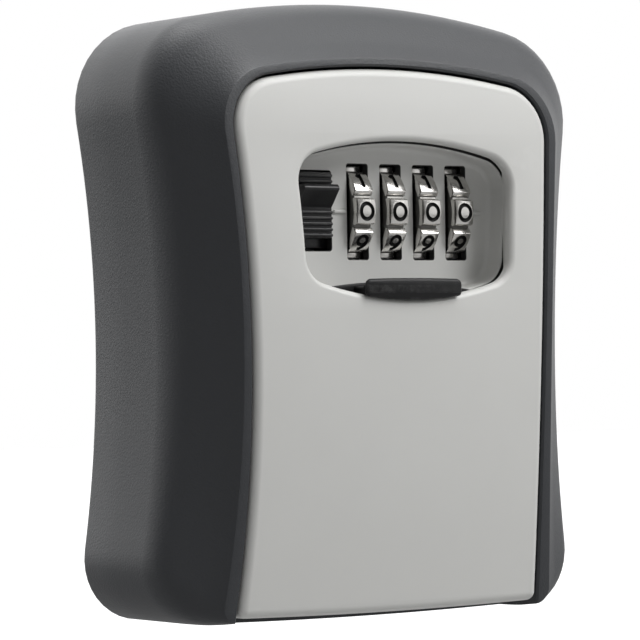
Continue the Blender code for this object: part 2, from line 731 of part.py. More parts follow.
# Door front: a bowed skin with a skirt, guides for the shutter and a window with a rolled edge
door_rings = [ring(DOOR, 0, skirt_back)]
for angle in quarter(ROLL_STEPS):
    door_rings.append(ring(DOOR, -DOOR_EDGE_R * (1 - math.cos(angle)),
                           shifted(door_at, DOOR_EDGE_R * (1 - math.sin(angle)))))
door_shell = loft("door_shell", door_rings, parts, paint("door_shell", (0.60, 0.60, 0.59), 0.42, 0.0))
door_hollow = loft("door_hollow", [ring(pocket_shape, -DOOR_SKIRT, skirt_back - OVERRUN),
                                   ring(pocket_shape, -DOOR_SKIRT, shifted(door_at, DOOR_SKIN))])
shutter_half = WINDOW["half"] + SHUTTER_SIDE
guide_middle = shutter_half + GAP + GUIDE_WIDTH / 2
guide_depth = (panel_rim + GAP, DOOR_DEPTH + OVERRUN)
guide_z = (shutter_bottom - GUIDE_BELOW, shutter_top + SHUTTER_TRAVEL + GUIDE_ABOVE)
for x in (-guide_middle, guide_middle):
    cut(door_hollow, block("shutter_guide", about(x, GUIDE_WIDTH / 2), guide_depth, guide_z))
window_rings = [ring(WINDOW, 0, skirt_back)]
for angle in quarter(ROLL_STEPS):
    window_rings.append(ring(WINDOW, WINDOW_ROLL_R * (1 - math.cos(angle)),
                             shifted(door_at, WINDOW_ROLL_R * (1 - math.sin(angle)))))
window_rings.append(ring(WINDOW, WINDOW_ROLL_R, shifted(door_at, -OVERRUN)))
skirt_hole = hinge_rod("skirt_hole", PIN_R + GAP, about(0, pin_half))
cut(door_shell, door_hollow, loft("window", window_rings), skirt_hole)

# Dial panel: the dished floor of the window recess, on a skirt, with slots and two index marks
panel_rings = [ring(WINDOW, PANEL_OUT, skirt_back), ring(WINDOW, PANEL_OUT, panel_rim)]
for angle in quarter(ROLL_STEPS):
    panel_rings.append(ring(WINDOW, PANEL_LIP_IN - PANEL_ROLL * (1 - math.cos(angle)),
                            panel_rim - PANEL_DISH * math.sin(angle)))
dial_panel = loft("dial_panel", panel_rings, parts, paint("dial_panel", (0.55, 0.55, 0.54), 0.45, 0.0))
cut(dial_panel, loft("panel_hollow", [ring(WINDOW, PANEL_OUT - PANEL_WALL, skirt_back - OVERRUN),
                                      ring(WINDOW, PANEL_OUT - PANEL_WALL, panel_back)]))
mark_depth = (panel_floor - MARK_SINK, panel_floor + MARK_RISE)
mark_z = about(dial_z, MARK_HEIGHT / 2)
right_mark_start = dial_xs[-1] + slot_half + MARK_GAP / 2
join(dial_panel, block("left_mark", (left_mark_end - MARK_LEFT_LENGTH, left_mark_end), mark_depth, mark_z),
     block("right_mark", (right_mark_start, right_mark_start + MARK_RIGHT_LENGTH), mark_depth, mark_z))
slot_depth = (panel_back - OVERRUN, panel_floor + OVERRUN)
slot_reach = math.sqrt(dial_corner_r ** 2 - (panel_back - dial_depth) ** 2) + SLOT_END_GAP
for x in dial_xs:
    cut(dial_panel, block("dial_slot", about(x, slot_half), slot_depth, about(dial_z, slot_reach)))
lever_slot_bottom = dial_z - LEVER_SLOT_DROP
lever_slot_top = dial_z + LEVER_SLOT_RISE
cut(dial_panel, block("lever_slot", (lever_slot_left, lever_slot_right), slot_depth,
                      (lever_slot_bottom, lever_slot_top)))

# Door chassis: a plate behind the skin with the wheel box, screw posts, shutter rails and hinge knuckles
door_chassis = loft("door_chassis", [ring(DOOR, -CHASSIS_INSET, chassis_back),
                                     ring(DOOR, -CHASSIS_INSET, chassis_front)],
                    parts, paint("door_chassis", (0.40, 0.41, 0.42), 0.5, 0.9))
box_outer_x = (box_left - BOX_WALL, box_right + BOX_WALL)
box_outer_z = (box_bottom - BOX_WALL, box_top + BOX_WALL)
join_depth = chassis_back + BOX_JOIN
join(door_chassis, block("box_outer", box_outer_x, (box_back, join_depth), box_outer_z))
cut(door_chassis, block("box_inner", (box_left, box_right), (box_back - OVERRUN, chassis_front + OVERRUN),
                        (box_bottom, box_top)))
post_spots = [(x, z) for z in (box_bottom + POST_INSET_Z, box_top - POST_INSET_Z)
              for x in (box_left + POST_INSET, box_right - POST_INSET)]
for x, z in post_spots:
    join(door_chassis, peg("post", POST_R, x, z, (box_back + GAP, join_depth)))
join(door_chassis, block("shaft_rib", (rib_left, rib_left + RIB_WIDTH),
                         (dial_depth - RIB_REACH, chassis_back + BOX_JOIN / 2),
                         (box_bottom - BOX_WALL / 2, dial_z + RIB_RISE)))
rail_middle = shutter_half - RAIL_INSET - RAIL_WIDTH / 2
for x in (-rail_middle, rail_middle):
    join(door_chassis, block("shutter_rail", about(x, RAIL_WIDTH / 2), (join_depth, shutter_back - GAP),
                             (shutter_bottom - GUIDE_BELOW, window_bottom - PANEL_OUT - RAIL_AIR)))
knuckle_middle = door_half - DOOR_SKIRT - KNUCKLE_LENGTH / 2
for x in (-knuckle_middle, 0, knuckle_middle):
    join(door_chassis, hinge_rod("knuckle", KNUCKLE_R, about(x, KNUCKLE_LENGTH / 2)))
cut(door_chassis, hinge_rod("knuckle_bore", PIN_R + KNUCKLE_BORE_GAP, about(0, pin_half)),
    shaft_rod("shaft_hole", SHAFT_R + GAP, (rib_left - GAP, box_right + OVERRUN)),
    block("nose_slot", about(0, NOSE_HALF + NOSE_GAP), (latch_back - GAP, latch_front + GAP),
          (box_top - GAP, box_top + OVERRUN)))

# Cover plate behind the wheels, held by four screws
mech_cover = block("mech_cover", box_outer_x, (cover_back, cover_front), box_outer_z, parts,
                   paint("mech_cover", (0.5, 0.5, 0.51), 0.4, 1.0))
cut(mech_cover, block("reset_slot", (reset_x - GAP, reset_x + RESET_THICK + RESET_TRAVEL + GAP),
                      (cover_back - OVERRUN, cover_front + OVERRUN), about(dial_z, RESET_HALF + GAP)))
SCREW = paint("cover_screw", (0.6, 0.6, 0.6), 0.3, 1.0)
screw_seat = cover_back - GAP
screw_tip = screw_seat + SCREW_LENGTH
for number, (x, z) in enumerate(post_spots, 1):
    hole = peg("screw_hole", SCREW_R + GAP, x, z, (cover_back - OVERRUN, screw_tip + GAP))
    cut(door_chassis, hole)
    cut(mech_cover, hole)
    headed_peg("cover_screw_%d" % number, x, z, (SCREW_HEAD_R, screw_seat - SCREW_HEAD, screw_seat),
               (SCREW_R, screw_tip), SCREW)

# Wheels with ten number pads, and a code sleeve with a gated disc in each
NICKEL = paint("dial", (0.60, 0.59, 0.57), 0.22, 1.0)
CAM = paint("cam", (0.66, 0.55, 0.30), 0.35, 1.0)
face_turn = math.tau / DIAL_FACES
groove_r = DIAL_PAD_R - DIAL_GROOVE


def wheel_points(inset):
    points = []
    for face in range(DIAL_FACES):
        angle = face * face_turn
        out = Vector((math.cos(angle), math.sin(angle)))
        up = Vector((-out.y, out.x))
        for reach, rise in ((groove_r, -DIAL_GROOVE_HALF), (DIAL_PAD_R, -DIAL_PAD_HALF),
                            (DIAL_PAD_R, DIAL_PAD_HALF), (groove_r, DIAL_GROOVE_HALF)):
            spot = out * (reach - inset) + up * rise
            points.append((dial_depth + spot.x, dial_z + spot.y))
    return points


def wheel_body(name, x, collection, material):
    """A toothed prism whose side edges are cut back all round."""
    bm = bmesh.new()
    half = DIAL_WIDTH / 2
    loops = []
    for side, inset in ((-half, DIAL_EDGE), (DIAL_EDGE - half, 0), (half - DIAL_EDGE, 0), (half, DIAL_EDGE)):
        loops.append([bm.verts.new((x + side, -depth, z)) for depth, z in wheel_points(inset)])
    count = len(loops[0])
    for near, far in zip(loops, loops[1:]):
        for i in range(count):
            bm.faces.new((near[i], near[(i + 1) % count], far[(i + 1) % count], far[i]))
    bm.faces.new(loops[0])
    bm.faces.new(loops[-1])
    return make_object(name, bm, collection, material)


dials = []
cams = []
clutch_start = DIAL_WIDTH / 2 - CLUTCH_LENGTH
sleeve_start = SLEEVE_INSET - DIAL_WIDTH / 2
sleeve_r = DIAL_BORE_R - GAP
key_start = clutch_start + GAP - CAM_LAP
for number, x in enumerate(dial_xs, 1):
    dial = wheel_body("dial_%d" % number, x, parts, NICKEL)
    cut(dial, shaft_rod("dial_bore", DIAL_BORE_R, about(x, DIAL_WIDTH), sides=ROUND_SIDES))
    for notch in range(DIAL_FACES // 2):
        bar = block("clutch_notch", (clutch_start, DIAL_WIDTH), about(0, CLUTCH_HALF), about(0, CLUTCH_R))
        bar.rotation_euler.x = notch * face_turn
        bar.location = (x, -dial_depth, dial_z)
        cut(dial, bar)
    place(dial, x, dial_depth, dial_z)
    dials.append(dial)

    disc_x = (x + cam_start, x + cam_start + CAM_WIDTH)
    cam = shaft_rod("cam_%d" % number, sleeve_r, (x + sleeve_start, x + cam_start + CAM_WIDTH / 2),
                    parts, CAM, ROUND_SIDES)
    join(cam, shaft_rod("cam_disc", CAM_R, disc_x, sides=ROUND_SIDES),
         block("cam_key", (x + key_start, x + key_start + KEY_LENGTH),
               about(dial_depth, CLUTCH_HALF - KEY_SIDE_GAP),
               (dial_z + sleeve_r - KEY_LENGTH, dial_z + sleeve_r + KEY_REACH)))
    cut(cam, block("cam_gate", (disc_x[0] - GAP - GAP, disc_x[1] + OVERRUN), about(dial_depth, CAM_GATE_HALF),
                   (dial_z + CAM_R - CAM_GATE_DEPTH, dial_z + CAM_R + OVERRUN)),
        shaft_rod("cam_bore", SHAFT_R + GAP, (x - DIAL_WIDTH, x + dial_pitch)))
    place(cam, x, dial_depth, dial_z)
    cams.append(cam)

dial_shaft = shaft_rod("dial_shaft", SHAFT_R, (shaft_left, box_right + SHAFT_REACH), parts, PIN)

# Code-change lever: a fork on the shaft with a thumb pad behind the cover
thumb_front = cover_back - GAP
thumb_back = thumb_front - RESET_THUMB_THICK
reset_z = about(dial_z, RESET_HALF)
reset_lever = block("reset_lever", (reset_x, reset_x + RESET_THICK),
                    (thumb_front - RESET_ROOT, dial_depth + RESET_WRAP), reset_z, parts,
                    paint("reset_lever", (0.05, 0.05, 0.05), 0.5, 0.0))
join(reset_lever, block("reset_thumb", (reset_x - RESET_THUMB_SIDE, reset_x + RESET_THICK + RESET_THUMB_SIDE),
                        (thumb_back, thumb_front), reset_z))
cut(reset_lever, shaft_rod("reset_bore", SHAFT_R + GAP, about(reset_x, OVERRUN)))

# Latch plate: a bar over the wheels with a tooth for each cam, an arm to the lever and a nose to the keeper
LATCH = paint("latch_plate", (0.58, 0.58, 0.59), 0.32, 1.0)
latch_depth = (latch_back, latch_front)
arm_bottom = lever_slot_bottom + ARM_FOOT
tooth_bottom = dial_z + CAM_R + LATCH_TRAVEL + TOOTH_AIR
latch_plate = block("latch_plate", (latch_left, box_right - LATCH_END_GAP), latch_depth,
                    (bar_bottom, bar_top), parts, LATCH)
join(latch_plate, block("latch_arm", (latch_left, arm_right), latch_depth, (arm_bottom, bar_top)),
     block("latch_nose", about(0, NOSE_HALF), latch_depth, (bar_bottom, nose_top)))
for x in dial_xs:
    join(latch_plate, block("latch_tooth", about(x + cam_start + CAM_WIDTH / 2, CAM_WIDTH / 2 + TOOTH_SIDE),
                            latch_depth, (tooth_bottom, bar_top)))

# Open lever: a ribbed face in the panel slot with a thumb tab, screwed to the latch plate
BLACK = paint("open_lever", (0.02, 0.02, 0.021), 0.25, 0.0)
base_back = chassis_front + GAP
base_front = panel_back - GAP
pad_bottom = lever_slot_bottom + LATCH_TRAVEL + LEVER_STOP_GAP
pad_face = panel_floor - LEVER_FACE_SINK
rib_top = pad_face + LEVER_RIB_RISE
rib_step = LEVER_RIB_PITCH * LEVER_RIB_SHARE
tab_top = lever_slot_top - LEVER_TAB_DROP
tab_nose = tab_top - LEVER_TAB_THICK
tab_face = panel_floor + LEVER_TAB_REACH
lever_top = lever_slot_top - GAP


def ribs(low, high):
    """Face points of the small ribs that fit between two heights, one above the other."""
    points = []
    for rib in range(int((high - low) / LEVER_RIB_PITCH)):
        foot = low + LEVER_RIB_PITCH * rib + rib_step / 2
        points += [(pad_face, foot), (rib_top, foot + rib_step / 2), (rib_top, foot + rib_step),
                   (pad_face, foot + rib_step + rib_step / 2)]
    return points


lever_line = [(base_back, pad_bottom), (pad_face, pad_bottom)] + ribs(pad_bottom, tab_top - LEVER_TAB_HEIGHT)
lever_line += [(pad_face, tab_top - LEVER_TAB_HEIGHT), (tab_face - LEVER_RIB_RISE, tab_nose),
               (tab_face, tab_nose + LEVER_RIB_RISE), (tab_face, tab_top - LEVER_RIB_RISE),
               (tab_face - LEVER_RIB_RISE, tab_top), (pad_face, tab_top)]
lever_line += ribs(tab_top, lever_top) + [(pad_face, lever_top), (base_back, lever_top)]
open_lever = prism("open_lever", lever_line, (lever_slot_left + GAP, lever_slot_right - GAP), parts, BLACK)
stem_x = (latch_left + arm_right) / 2
stem_z = pad_bottom + (pad_bottom - lever_slot_bottom) + STEM_HALF_HEIGHT
join(open_lever, block("lever_base", (lever_base_left, lever_slot_right + LEVER_LAP), (base_back, base_front),
                       (pad_bottom - LEVER_LAP_BOTTOM, lever_slot_top + LEVER_LAP_TOP)),
     block("lever_stem", about(stem_x, STEM_HALF), (latch_front + GAP, base_front),
           about(stem_z, STEM_HALF_HEIGHT)))
lever_hole = peg("lever_hole", LEVER_SCREW_R + GAP, stem_x, stem_z,
                 (latch_back - OVERRUN, latch_back + LEVER_SCREW_LENGTH))
cut(open_lever, lever_hole)
cut(latch_plate, lever_hole)
lever_seat = latch_back - GAP
lever_screw = headed_peg("lever_screw", stem_x, stem_z,
                         (LEVER_SCREW_HEAD_R, lever_seat - LEVER_SCREW_HEAD, lever_seat),
                         (LEVER_SCREW_R, lever_seat + LEVER_SCREW_LENGTH - GAP), SCREW)

# Coil spring between the foot of the latch arm and the floor of the wheel box
spring_low = box_bottom + SPRING_WIRE_R + GAP
spring_rise = arm_bottom - SPRING_WIRE_R - GAP - spring_low
spring_x = arm_right - SPRING_R - SPRING_WIRE_R - GAP
spring_depth = (latch_back + latch_front) / 2
spring_count = SPRING_TURNS * SPRING_POINTS
spring_points = []
for i in range(spring_count + 1):
    angle = math.tau * i / SPRING_POINTS
    spring_points.append((spring_x + SPRING_R * math.cos(angle), spring_depth - SPRING_R * math.sin(angle),
                          spring_low + spring_rise * i / spring_count))
latch_spring = wire("latch_spring", spring_points, SPRING_WIRE_R, 1, parts,
                    paint("latch_spring", (0.5, 0.5, 0.5), 0.3, 1.0))
print("least gap between spring turns %.5f m" % (spring_rise / SPRING_TURNS - SPRING_WIRE_R - SPRING_WIRE_R))

# Leaf comb under the wheels: one finger for each wheel
detent_top = detent_low + DETENT_THICK
detent_back = box_back + DETENT_INSET
finger_end = dial_depth + DETENT_REACH
detent_spring = block("detent_spring", (dial_xs[0] - DETENT_FINGER_HALF, dial_xs[-1] + DETENT_FINGER_HALF),
                      (detent_back, finger_end), (detent_low, detent_top), parts,
                      paint("detent_spring", (0.55, 0.54, 0.5), 0.3, 1.0))
for x, following in zip(dial_xs, dial_xs[1:]):
    cut(detent_spring, block("finger_gap", (x + DETENT_FINGER_HALF, following - DETENT_FINGER_HALF),
                             (detent_back + DETENT_STRIP, finger_end + OVERRUN), about(detent_top, OVERRUN)))
for x in dial_xs:
    finger = about(x, DETENT_FINGER_HALF - GAP)
    bump_z = detent_top + DETENT_BUMP_RISE
    join(detent_spring, rod("detent_bump", DETENT_BUMP_R, (finger[0], dial_depth, bump_z),
                            (finger[1], dial_depth, bump_z)))

# Weather shutter: a thin plate that slides behind the door skin, with a finger tab in the window
shutter_shape = outline(shutter_half, shutter_bottom, SHUTTER_SIDE_R, shutter_top, WINDOW_TOP_R,
                        shutter_bottom, CASE_BOTTOM_R, SHUTTER_CORNER, SHUTTER_CORNER)
shutter = loft("shutter", [ring(shutter_shape, -SHUTTER_EDGE, shutter_back),
                           ring(shutter_shape, 0, shutter_back + SHUTTER_EDGE),
                           ring(shutter_shape, 0, shutter_front - SHUTTER_EDGE),
                           ring(shutter_shape, -SHUTTER_EDGE, shutter_front)], parts, BLACK)
tab_root = shutter_back + SHUTTER_EDGE
tab_front = DOOR_DEPTH + TAB_PROUD
tab_crown = tab_front - TAB_CROWN
tab_undercut = tab_crown - TAB_UNDERCUT
root_bottom = window_bottom + TAB_FOOT_GAP
root_top = root_bottom + TAB_HEIGHT
crown_bottom = root_bottom - TAB_LOW
crown_top = root_top + TAB_HIGH
tab = prism("shutter_tab", [(tab_root, root_bottom), (tab_undercut, root_bottom), (tab_crown, crown_bottom),
                            (tab_front, crown_bottom), (tab_front, crown_top - TAB_EDGE),
                            (tab_crown, crown_top), (tab_root, root_top)], about(0, TAB_HALF))
soften(tab, TAB_EDGE)
join(shutter, tab)

# What turns or slides with what
door_hinge = axis_empty("door_hinge", 0, hinge_depth, hinge_z)
latch_slide = axis_empty("latch_slide", stem_x, latch_back, stem_z, door_hinge)
reset_slide = axis_empty("reset_slide", 0, dial_depth, dial_z, door_hinge)
carried = ("door_shell", "dial_panel", "door_chassis", "mech_cover", "cover_screw", "detent",
           "shutter", "latch_spring")
carry(door_hinge, *dials, *(obj for obj in parts.objects if obj.name.startswith(carried)))
carry(latch_slide, latch_plate, open_lever, lever_screw)
carry(reset_slide, dial_shaft, reset_lever, *cams)
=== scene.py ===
import bmesh
import bpy
import json
import math
from mathutils import Matrix, Vector

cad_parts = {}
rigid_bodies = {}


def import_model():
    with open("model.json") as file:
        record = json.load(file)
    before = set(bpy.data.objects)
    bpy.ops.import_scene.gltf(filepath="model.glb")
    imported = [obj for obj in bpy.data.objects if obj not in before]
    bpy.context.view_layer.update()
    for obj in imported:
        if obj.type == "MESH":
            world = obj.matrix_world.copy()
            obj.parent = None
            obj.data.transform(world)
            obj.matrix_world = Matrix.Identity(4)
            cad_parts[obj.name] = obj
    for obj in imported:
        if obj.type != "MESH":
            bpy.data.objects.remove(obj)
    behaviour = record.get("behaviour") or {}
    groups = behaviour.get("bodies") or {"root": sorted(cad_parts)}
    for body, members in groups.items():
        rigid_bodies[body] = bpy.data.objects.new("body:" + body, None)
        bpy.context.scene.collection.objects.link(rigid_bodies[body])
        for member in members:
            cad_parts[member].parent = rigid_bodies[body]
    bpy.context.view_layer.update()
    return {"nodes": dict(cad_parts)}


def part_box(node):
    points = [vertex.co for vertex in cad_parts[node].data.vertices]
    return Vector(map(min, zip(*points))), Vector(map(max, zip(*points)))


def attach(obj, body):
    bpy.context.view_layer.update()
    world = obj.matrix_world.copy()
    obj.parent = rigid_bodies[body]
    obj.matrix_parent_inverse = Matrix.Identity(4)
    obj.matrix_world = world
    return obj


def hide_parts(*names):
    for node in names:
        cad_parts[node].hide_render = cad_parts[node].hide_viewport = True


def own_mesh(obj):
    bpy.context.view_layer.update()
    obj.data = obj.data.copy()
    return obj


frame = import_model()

# Camera and studio
# The photograph looks at the box from its left front with a long lens, almost level, against white. The room
# is bright behind and above and dim in front, and shiny surfaces also see a bright zone at the right. The
# floor is white only to the camera, so that it throws little light back.
scene = bpy.context.scene
YAW, PITCH, ROLL = math.radians(36.10), math.radians(-0.59), math.radians(-0.86)
FOCAL_PX, PICTURE_PX, SENSOR_MM = 3616, 640, 36
forward = Vector((math.sin(YAW) * math.cos(PITCH), math.cos(YAW) * math.cos(PITCH), -math.sin(PITCH)))
level = Vector((math.cos(YAW), -math.sin(YAW), 0))
upright = level.cross(forward)
across = level * math.cos(ROLL) + upright * math.sin(ROLL)
above = upright * math.cos(ROLL) - level * math.sin(ROLL)
camera_data = bpy.data.cameras.new("camera")
camera_data.sensor_width = SENSOR_MM
camera_data.lens = FOCAL_PX / PICTURE_PX * SENSOR_MM
camera_data.clip_start, camera_data.clip_end = 0.05, 20


def put(name, data):
    """An object with this data, in the scene."""
    obj = bpy.data.objects.new(name, data)
    scene.collection.objects.link(obj)
    return obj


camera = put("camera", camera_data)
turn = Matrix((across, above, -forward)).transposed()
AIM, DISTANCE = Vector((-0.00677, -0.020, -0.00172)), 0.7075
camera.matrix_world = Matrix.Translation(AIM - forward * DISTANCE) @ turn.to_4x4()
scene.camera = camera
scene.view_settings.view_transform = 'Standard'


def add(tree, kind, x=0, y=0, inputs=(), **properties):
    """A node with its properties set by name and its inputs by socket name or number."""
    node = tree.nodes.new(kind)
    node.location = (x, y)
    for key, value in properties.items():
        setattr(node, key, value)
    for key, value in dict(inputs).items():
        node.inputs[key].default_value = value
    return node


def maths(tree, operation, x=0, y=0, inputs=()):
    return add(tree, 'ShaderNodeMath', x, y, inputs, operation=operation)


def wire(tree, *links):
    """Links nodes of a tree: each link is a node, its output, the next node and its input."""
    for source, output, target, into in links:
        tree.links.new(source.outputs[output], target.inputs[into])


world = bpy.data.worlds.new("studio")
scene.world = world
world.use_nodes = True
tree = world.node_tree
tree.nodes.clear()
path = add(tree, 'ShaderNodeLightPath', -900, 300)
seen = maths(tree, 'MAXIMUM', -700, 300)
place = add(tree, 'ShaderNodeTexCoord', -1100, 0)
split = add(tree, 'ShaderNodeSeparateXYZ', -900, 0)
room = add(tree, 'ShaderNodeMapRange', -700, 0, {1: -0.10, 2: 0.45, 3: 0.02, 4: 1.75})
sky = add(tree, 'ShaderNodeMapRange', -700, -250, {1: -0.2, 2: 0.9, 3: 0.0, 4: 0.55})
both = maths(tree, 'MAXIMUM', -500, -100)
soft = maths(tree, 'MULTIPLY', -320, -100, {1: 0.75})
right = add(tree, 'ShaderNodeMapRange', -700, -500, {1: 0.30, 2: 0.60, 3: 0.0, 4: 0.9})
wide = maths(tree, 'MAXIMUM', -320, -350)
seen_by_gloss = add(tree, 'ShaderNodeMix', -150, 0)
power = add(tree, 'ShaderNodeMix', 20, 150)
back = add(tree, 'ShaderNodeBackground', 200, 100, {"Color": (1, 1, 1, 1)})
out = add(tree, 'ShaderNodeOutputWorld', 400, 100)
wire(tree, (place, "Generated", split, 0), (split, "Y", room, 0), (split, "Z", sky, 0), (room, 0, both, 0),
     (sky, 0, both, 1), (both, 0, soft, 0), (path, "Is Glossy Ray", seen_by_gloss, 0),
     (soft, 0, seen_by_gloss, 2), (split, "X", right, 0), (both, 0, wide, 0), (right, 0, wide, 1),
     (wide, 0, seen_by_gloss, 3), (path, "Is Camera Ray", seen, 0), (path, "Is Transmission Ray", seen, 1),
     (seen, 0, power, 0), (seen_by_gloss, 0, power, 2))
power.inputs[3].default_value = 1.0
wire(tree, (power, 0, back, "Strength"), (back, 0, out, 0))

for name, spot, aim, size, watts in (("key_light", (0.65, -0.75, 0.95), (0, -0.03, 0), 0.9, 14.8),
                                     ("fill_light", (-0.75, -0.85, 0.15), (0, -0.03, 0), 0.8, 0.3),
                                     ("top_light", (0.05, 0.05, 0.95), (0, -0.02, 0), 0.7, 6.0)):
    lamp = bpy.data.lights.new(name, 'AREA')
    lamp.shape = 'DISK'
    lamp.size = size
    lamp.energy = watts
    turn = (Vector(aim) - Vector(spot)).to_track_quat('-Z', 'Y').to_matrix().to_4x4()
    put(name, lamp).matrix_world = Matrix.Translation(spot) @ turn

FLOOR_Z = -0.14
mesh = bpy.data.meshes.new("floor")
mesh.from_pydata([(-4, -4, FLOOR_Z), (4, -4, FLOOR_Z), (4, 4, FLOOR_Z), (-4, 4, FLOOR_Z)], [], [(0, 1, 2, 3)])
floor = put("floor", mesh)
white = bpy.data.materials.new("studio floor")
white.use_nodes = True
shader = white.node_tree.nodes["Principled BSDF"]
shader.inputs["Base Color"].default_value = (0.30, 0.30, 0.30, 1)
shader.inputs["Roughness"].default_value = 0.9
path = add(white.node_tree, 'ShaderNodeLightPath', -500, -200)
glow = maths(white.node_tree, 'MULTIPLY', -250, -200, {1: 0.93})
shader.inputs["Emission Color"].default_value = (1, 1, 1, 1)
wire(white.node_tree, (path, "Is Camera Ray", glow, 0), (glow, 0, shader, "Emission Strength"))
mesh.materials.append(white)


# Case jacket
# One dark grey moulding with a fine matte grain: two hollow sides, an arched top, a broad sloping bezel and a
# narrow flat lip round the door. It slips over the back plate and is open at the foot, where the door turns.


def outline(half, waist_z, side_r, top, top_r, bottom, bottom_r, corner_top, corner_bottom, middle=0):
    return dict(half=half, waist_z=waist_z, side_r=side_r, top=top, top_r=top_r, bottom=bottom,
                bottom_r=bottom_r, corner_top=corner_top, corner_bottom=corner_bottom, middle=middle)


def circle_cross(c0, r0, c1, r1, pick):
    line = c1 - c0
    reach = line.length
    along = (r0 * r0 - r1 * r1 + reach * reach) / (2 * reach)
    rise = math.sqrt(max(r0 * r0 - along * along, 0))
    base = c0 + line * (along / reach)
    side = Vector((-line.y, line.x)) * (rise / reach)
    return max((base + side, base - side), key=lambda p: p.y * pick)


def arc(centre, start, end, steps):
    a0 = math.atan2(start.y - centre.y, start.x - centre.x)
    a1 = math.atan2(end.y - centre.y, end.x - centre.x)
    sweep = (a1 - a0 + math.pi) % math.tau - math.pi
    radius = (start - centre).length
    spots = (a0 + sweep * i / steps for i in range(steps))
    return [centre + Vector((math.cos(a), math.sin(a))) * radius for a in spots]


def half_points(shape, grow, fine):
    """Right half of an outline grown by a distance, from the middle of the foot to the top."""
    side_c = Vector((shape["half"] + shape["side_r"], shape["waist_z"]))
    top_c = Vector((0, shape["top"] - shape["top_r"]))
    foot_c = Vector((0, shape["bottom"] + shape["bottom_r"]))
    side_r, top_r, foot_r = shape["side_r"] - grow, shape["top_r"] + grow, shape["bottom_r"] + grow
    r_top = max(shape["corner_top"] + grow, 0.0001)
    r_foot = max(shape["corner_bottom"] + grow, 0.0001)
    k_top = circle_cross(side_c, side_r + r_top, top_c, top_r - r_top, 1)
    k_foot = circle_cross(side_c, side_r + r_foot, foot_c, foot_r - r_foot, -1)
    foot_end = foot_c + (k_foot - foot_c).normalized() * foot_r
    side_start = side_c + (k_foot - side_c).normalized() * side_r
    side_end = side_c + (k_top - side_c).normalized() * side_r
    top_start = top_c + (k_top - top_c).normalized() * top_r
    points = arc(foot_c, foot_c - Vector((0, foot_r)), foot_end, 5 * fine)
    points += arc(k_foot, foot_end, side_start, 5 * fine)
    points += arc(side_c, side_start, side_end, 12 * fine)
    points += arc(k_top, side_end, top_start, 5 * fine)
    points += arc(top_c, top_start, top_c + Vector((0, top_r)), 6 * fine)
    return points + [top_c + Vector((0, top_r))]


def ring(shape, grow, depth, fine=2):
    """A closed loop at a depth in front of the wall; the depth is a length or a function of the height."""
    right = half_points(shape, grow, fine)
    flat = right + [Vector((-p.x, p.y)) for p in reversed(right[1:-1])]
    return [Vector((p.x + shape["middle"], -(depth(p.y) if callable(depth) else depth), p.y)) for p in flat]


def bowed(depth, bow, middle, reach=0.059):
    """A face as a function of the height: it lies back by the bow at a reach above and below its middle."""
    return lambda z: depth - bow * ((z - middle) / reach) ** 2


def shifted(face, drop):
    return lambda z: face(z) - drop


def blend(ring_a, ring_b, share):
    return [a.lerp(b, share) for a, b in zip(ring_a, ring_b)]


def new_object(name, bm, material=None, sharp=32):
    bmesh.ops.recalc_face_normals(bm, faces=bm.faces)
    mesh = bpy.data.meshes.new(name)
    bm.to_mesh(mesh)
    bm.free()
    mesh.shade_smooth()
    mesh.set_sharp_from_angle(angle=math.radians(sharp))
    if material:
        mesh.materials.append(material)
    return put(name, mesh)


def loft(name, rings, material=None, sharp=32, flat=False):
    """A closed body through matching rings, with flat caps or caps of cross strips."""
    bm = bmesh.new()
    loops = [[bm.verts.new(p) for p in points] for points in rings]
    count = len(loops[0])
    for near, far in zip(loops, loops[1:]):
        for i in range(count):
            j = (i + 1) % count
            bm.faces.new((near[i], near[j], far[j], far[i]))
    for end in (loops[0], loops[-1]):
        if flat:
            bm.faces.new(end)
            continue
        for i in range(count // 2):
            corners = (end[i], end[i + 1], end[count - i - 1], end[(count - i) % count])
            bm.faces.new(list(dict.fromkeys(corners)))
    return new_object(name, bm, material, sharp)


def slab(name, shape, layers, material=None, sharp=32):
    """A closed body from one outline: its layers say how far it has grown at which depth."""
    return loft(name, [ring(shape, grow, depth) for grow, depth in layers], material, sharp)


def block(name, x, depth, z, material=None):
    bm = bmesh.new()
    low, high = Vector((x[0], -depth[1], z[0])), Vector((x[1], -depth[0], z[1]))
    stretch = Matrix.Diagonal((*(high - low), 1))
    bmesh.ops.create_cube(bm, size=1, matrix=Matrix.Translation((low + high) / 2) @ stretch)
    return new_object(name, bm, material)


def rod(name, radius, start, end, sides=48, material=None):
    low, high = Vector((start[0], -start[1], start[2])), Vector((end[0], -end[1], end[2]))
    bm = bmesh.new()
    spin = (high - low).to_track_quat('Z', 'Y').to_matrix().to_4x4()
    bmesh.ops.create_cone(bm, cap_ends=True, segments=sides, radius1=radius, radius2=radius,
                          depth=(high - low).length, matrix=Matrix.Translation((low + high) / 2) @ spin)
    return new_object(name, bm, material)


def combine(obj, others, operation):
    for other in others:
        step = obj.modifiers.new("shape", 'BOOLEAN')
        step.operation, step.solver, step.object = operation, 'EXACT', other


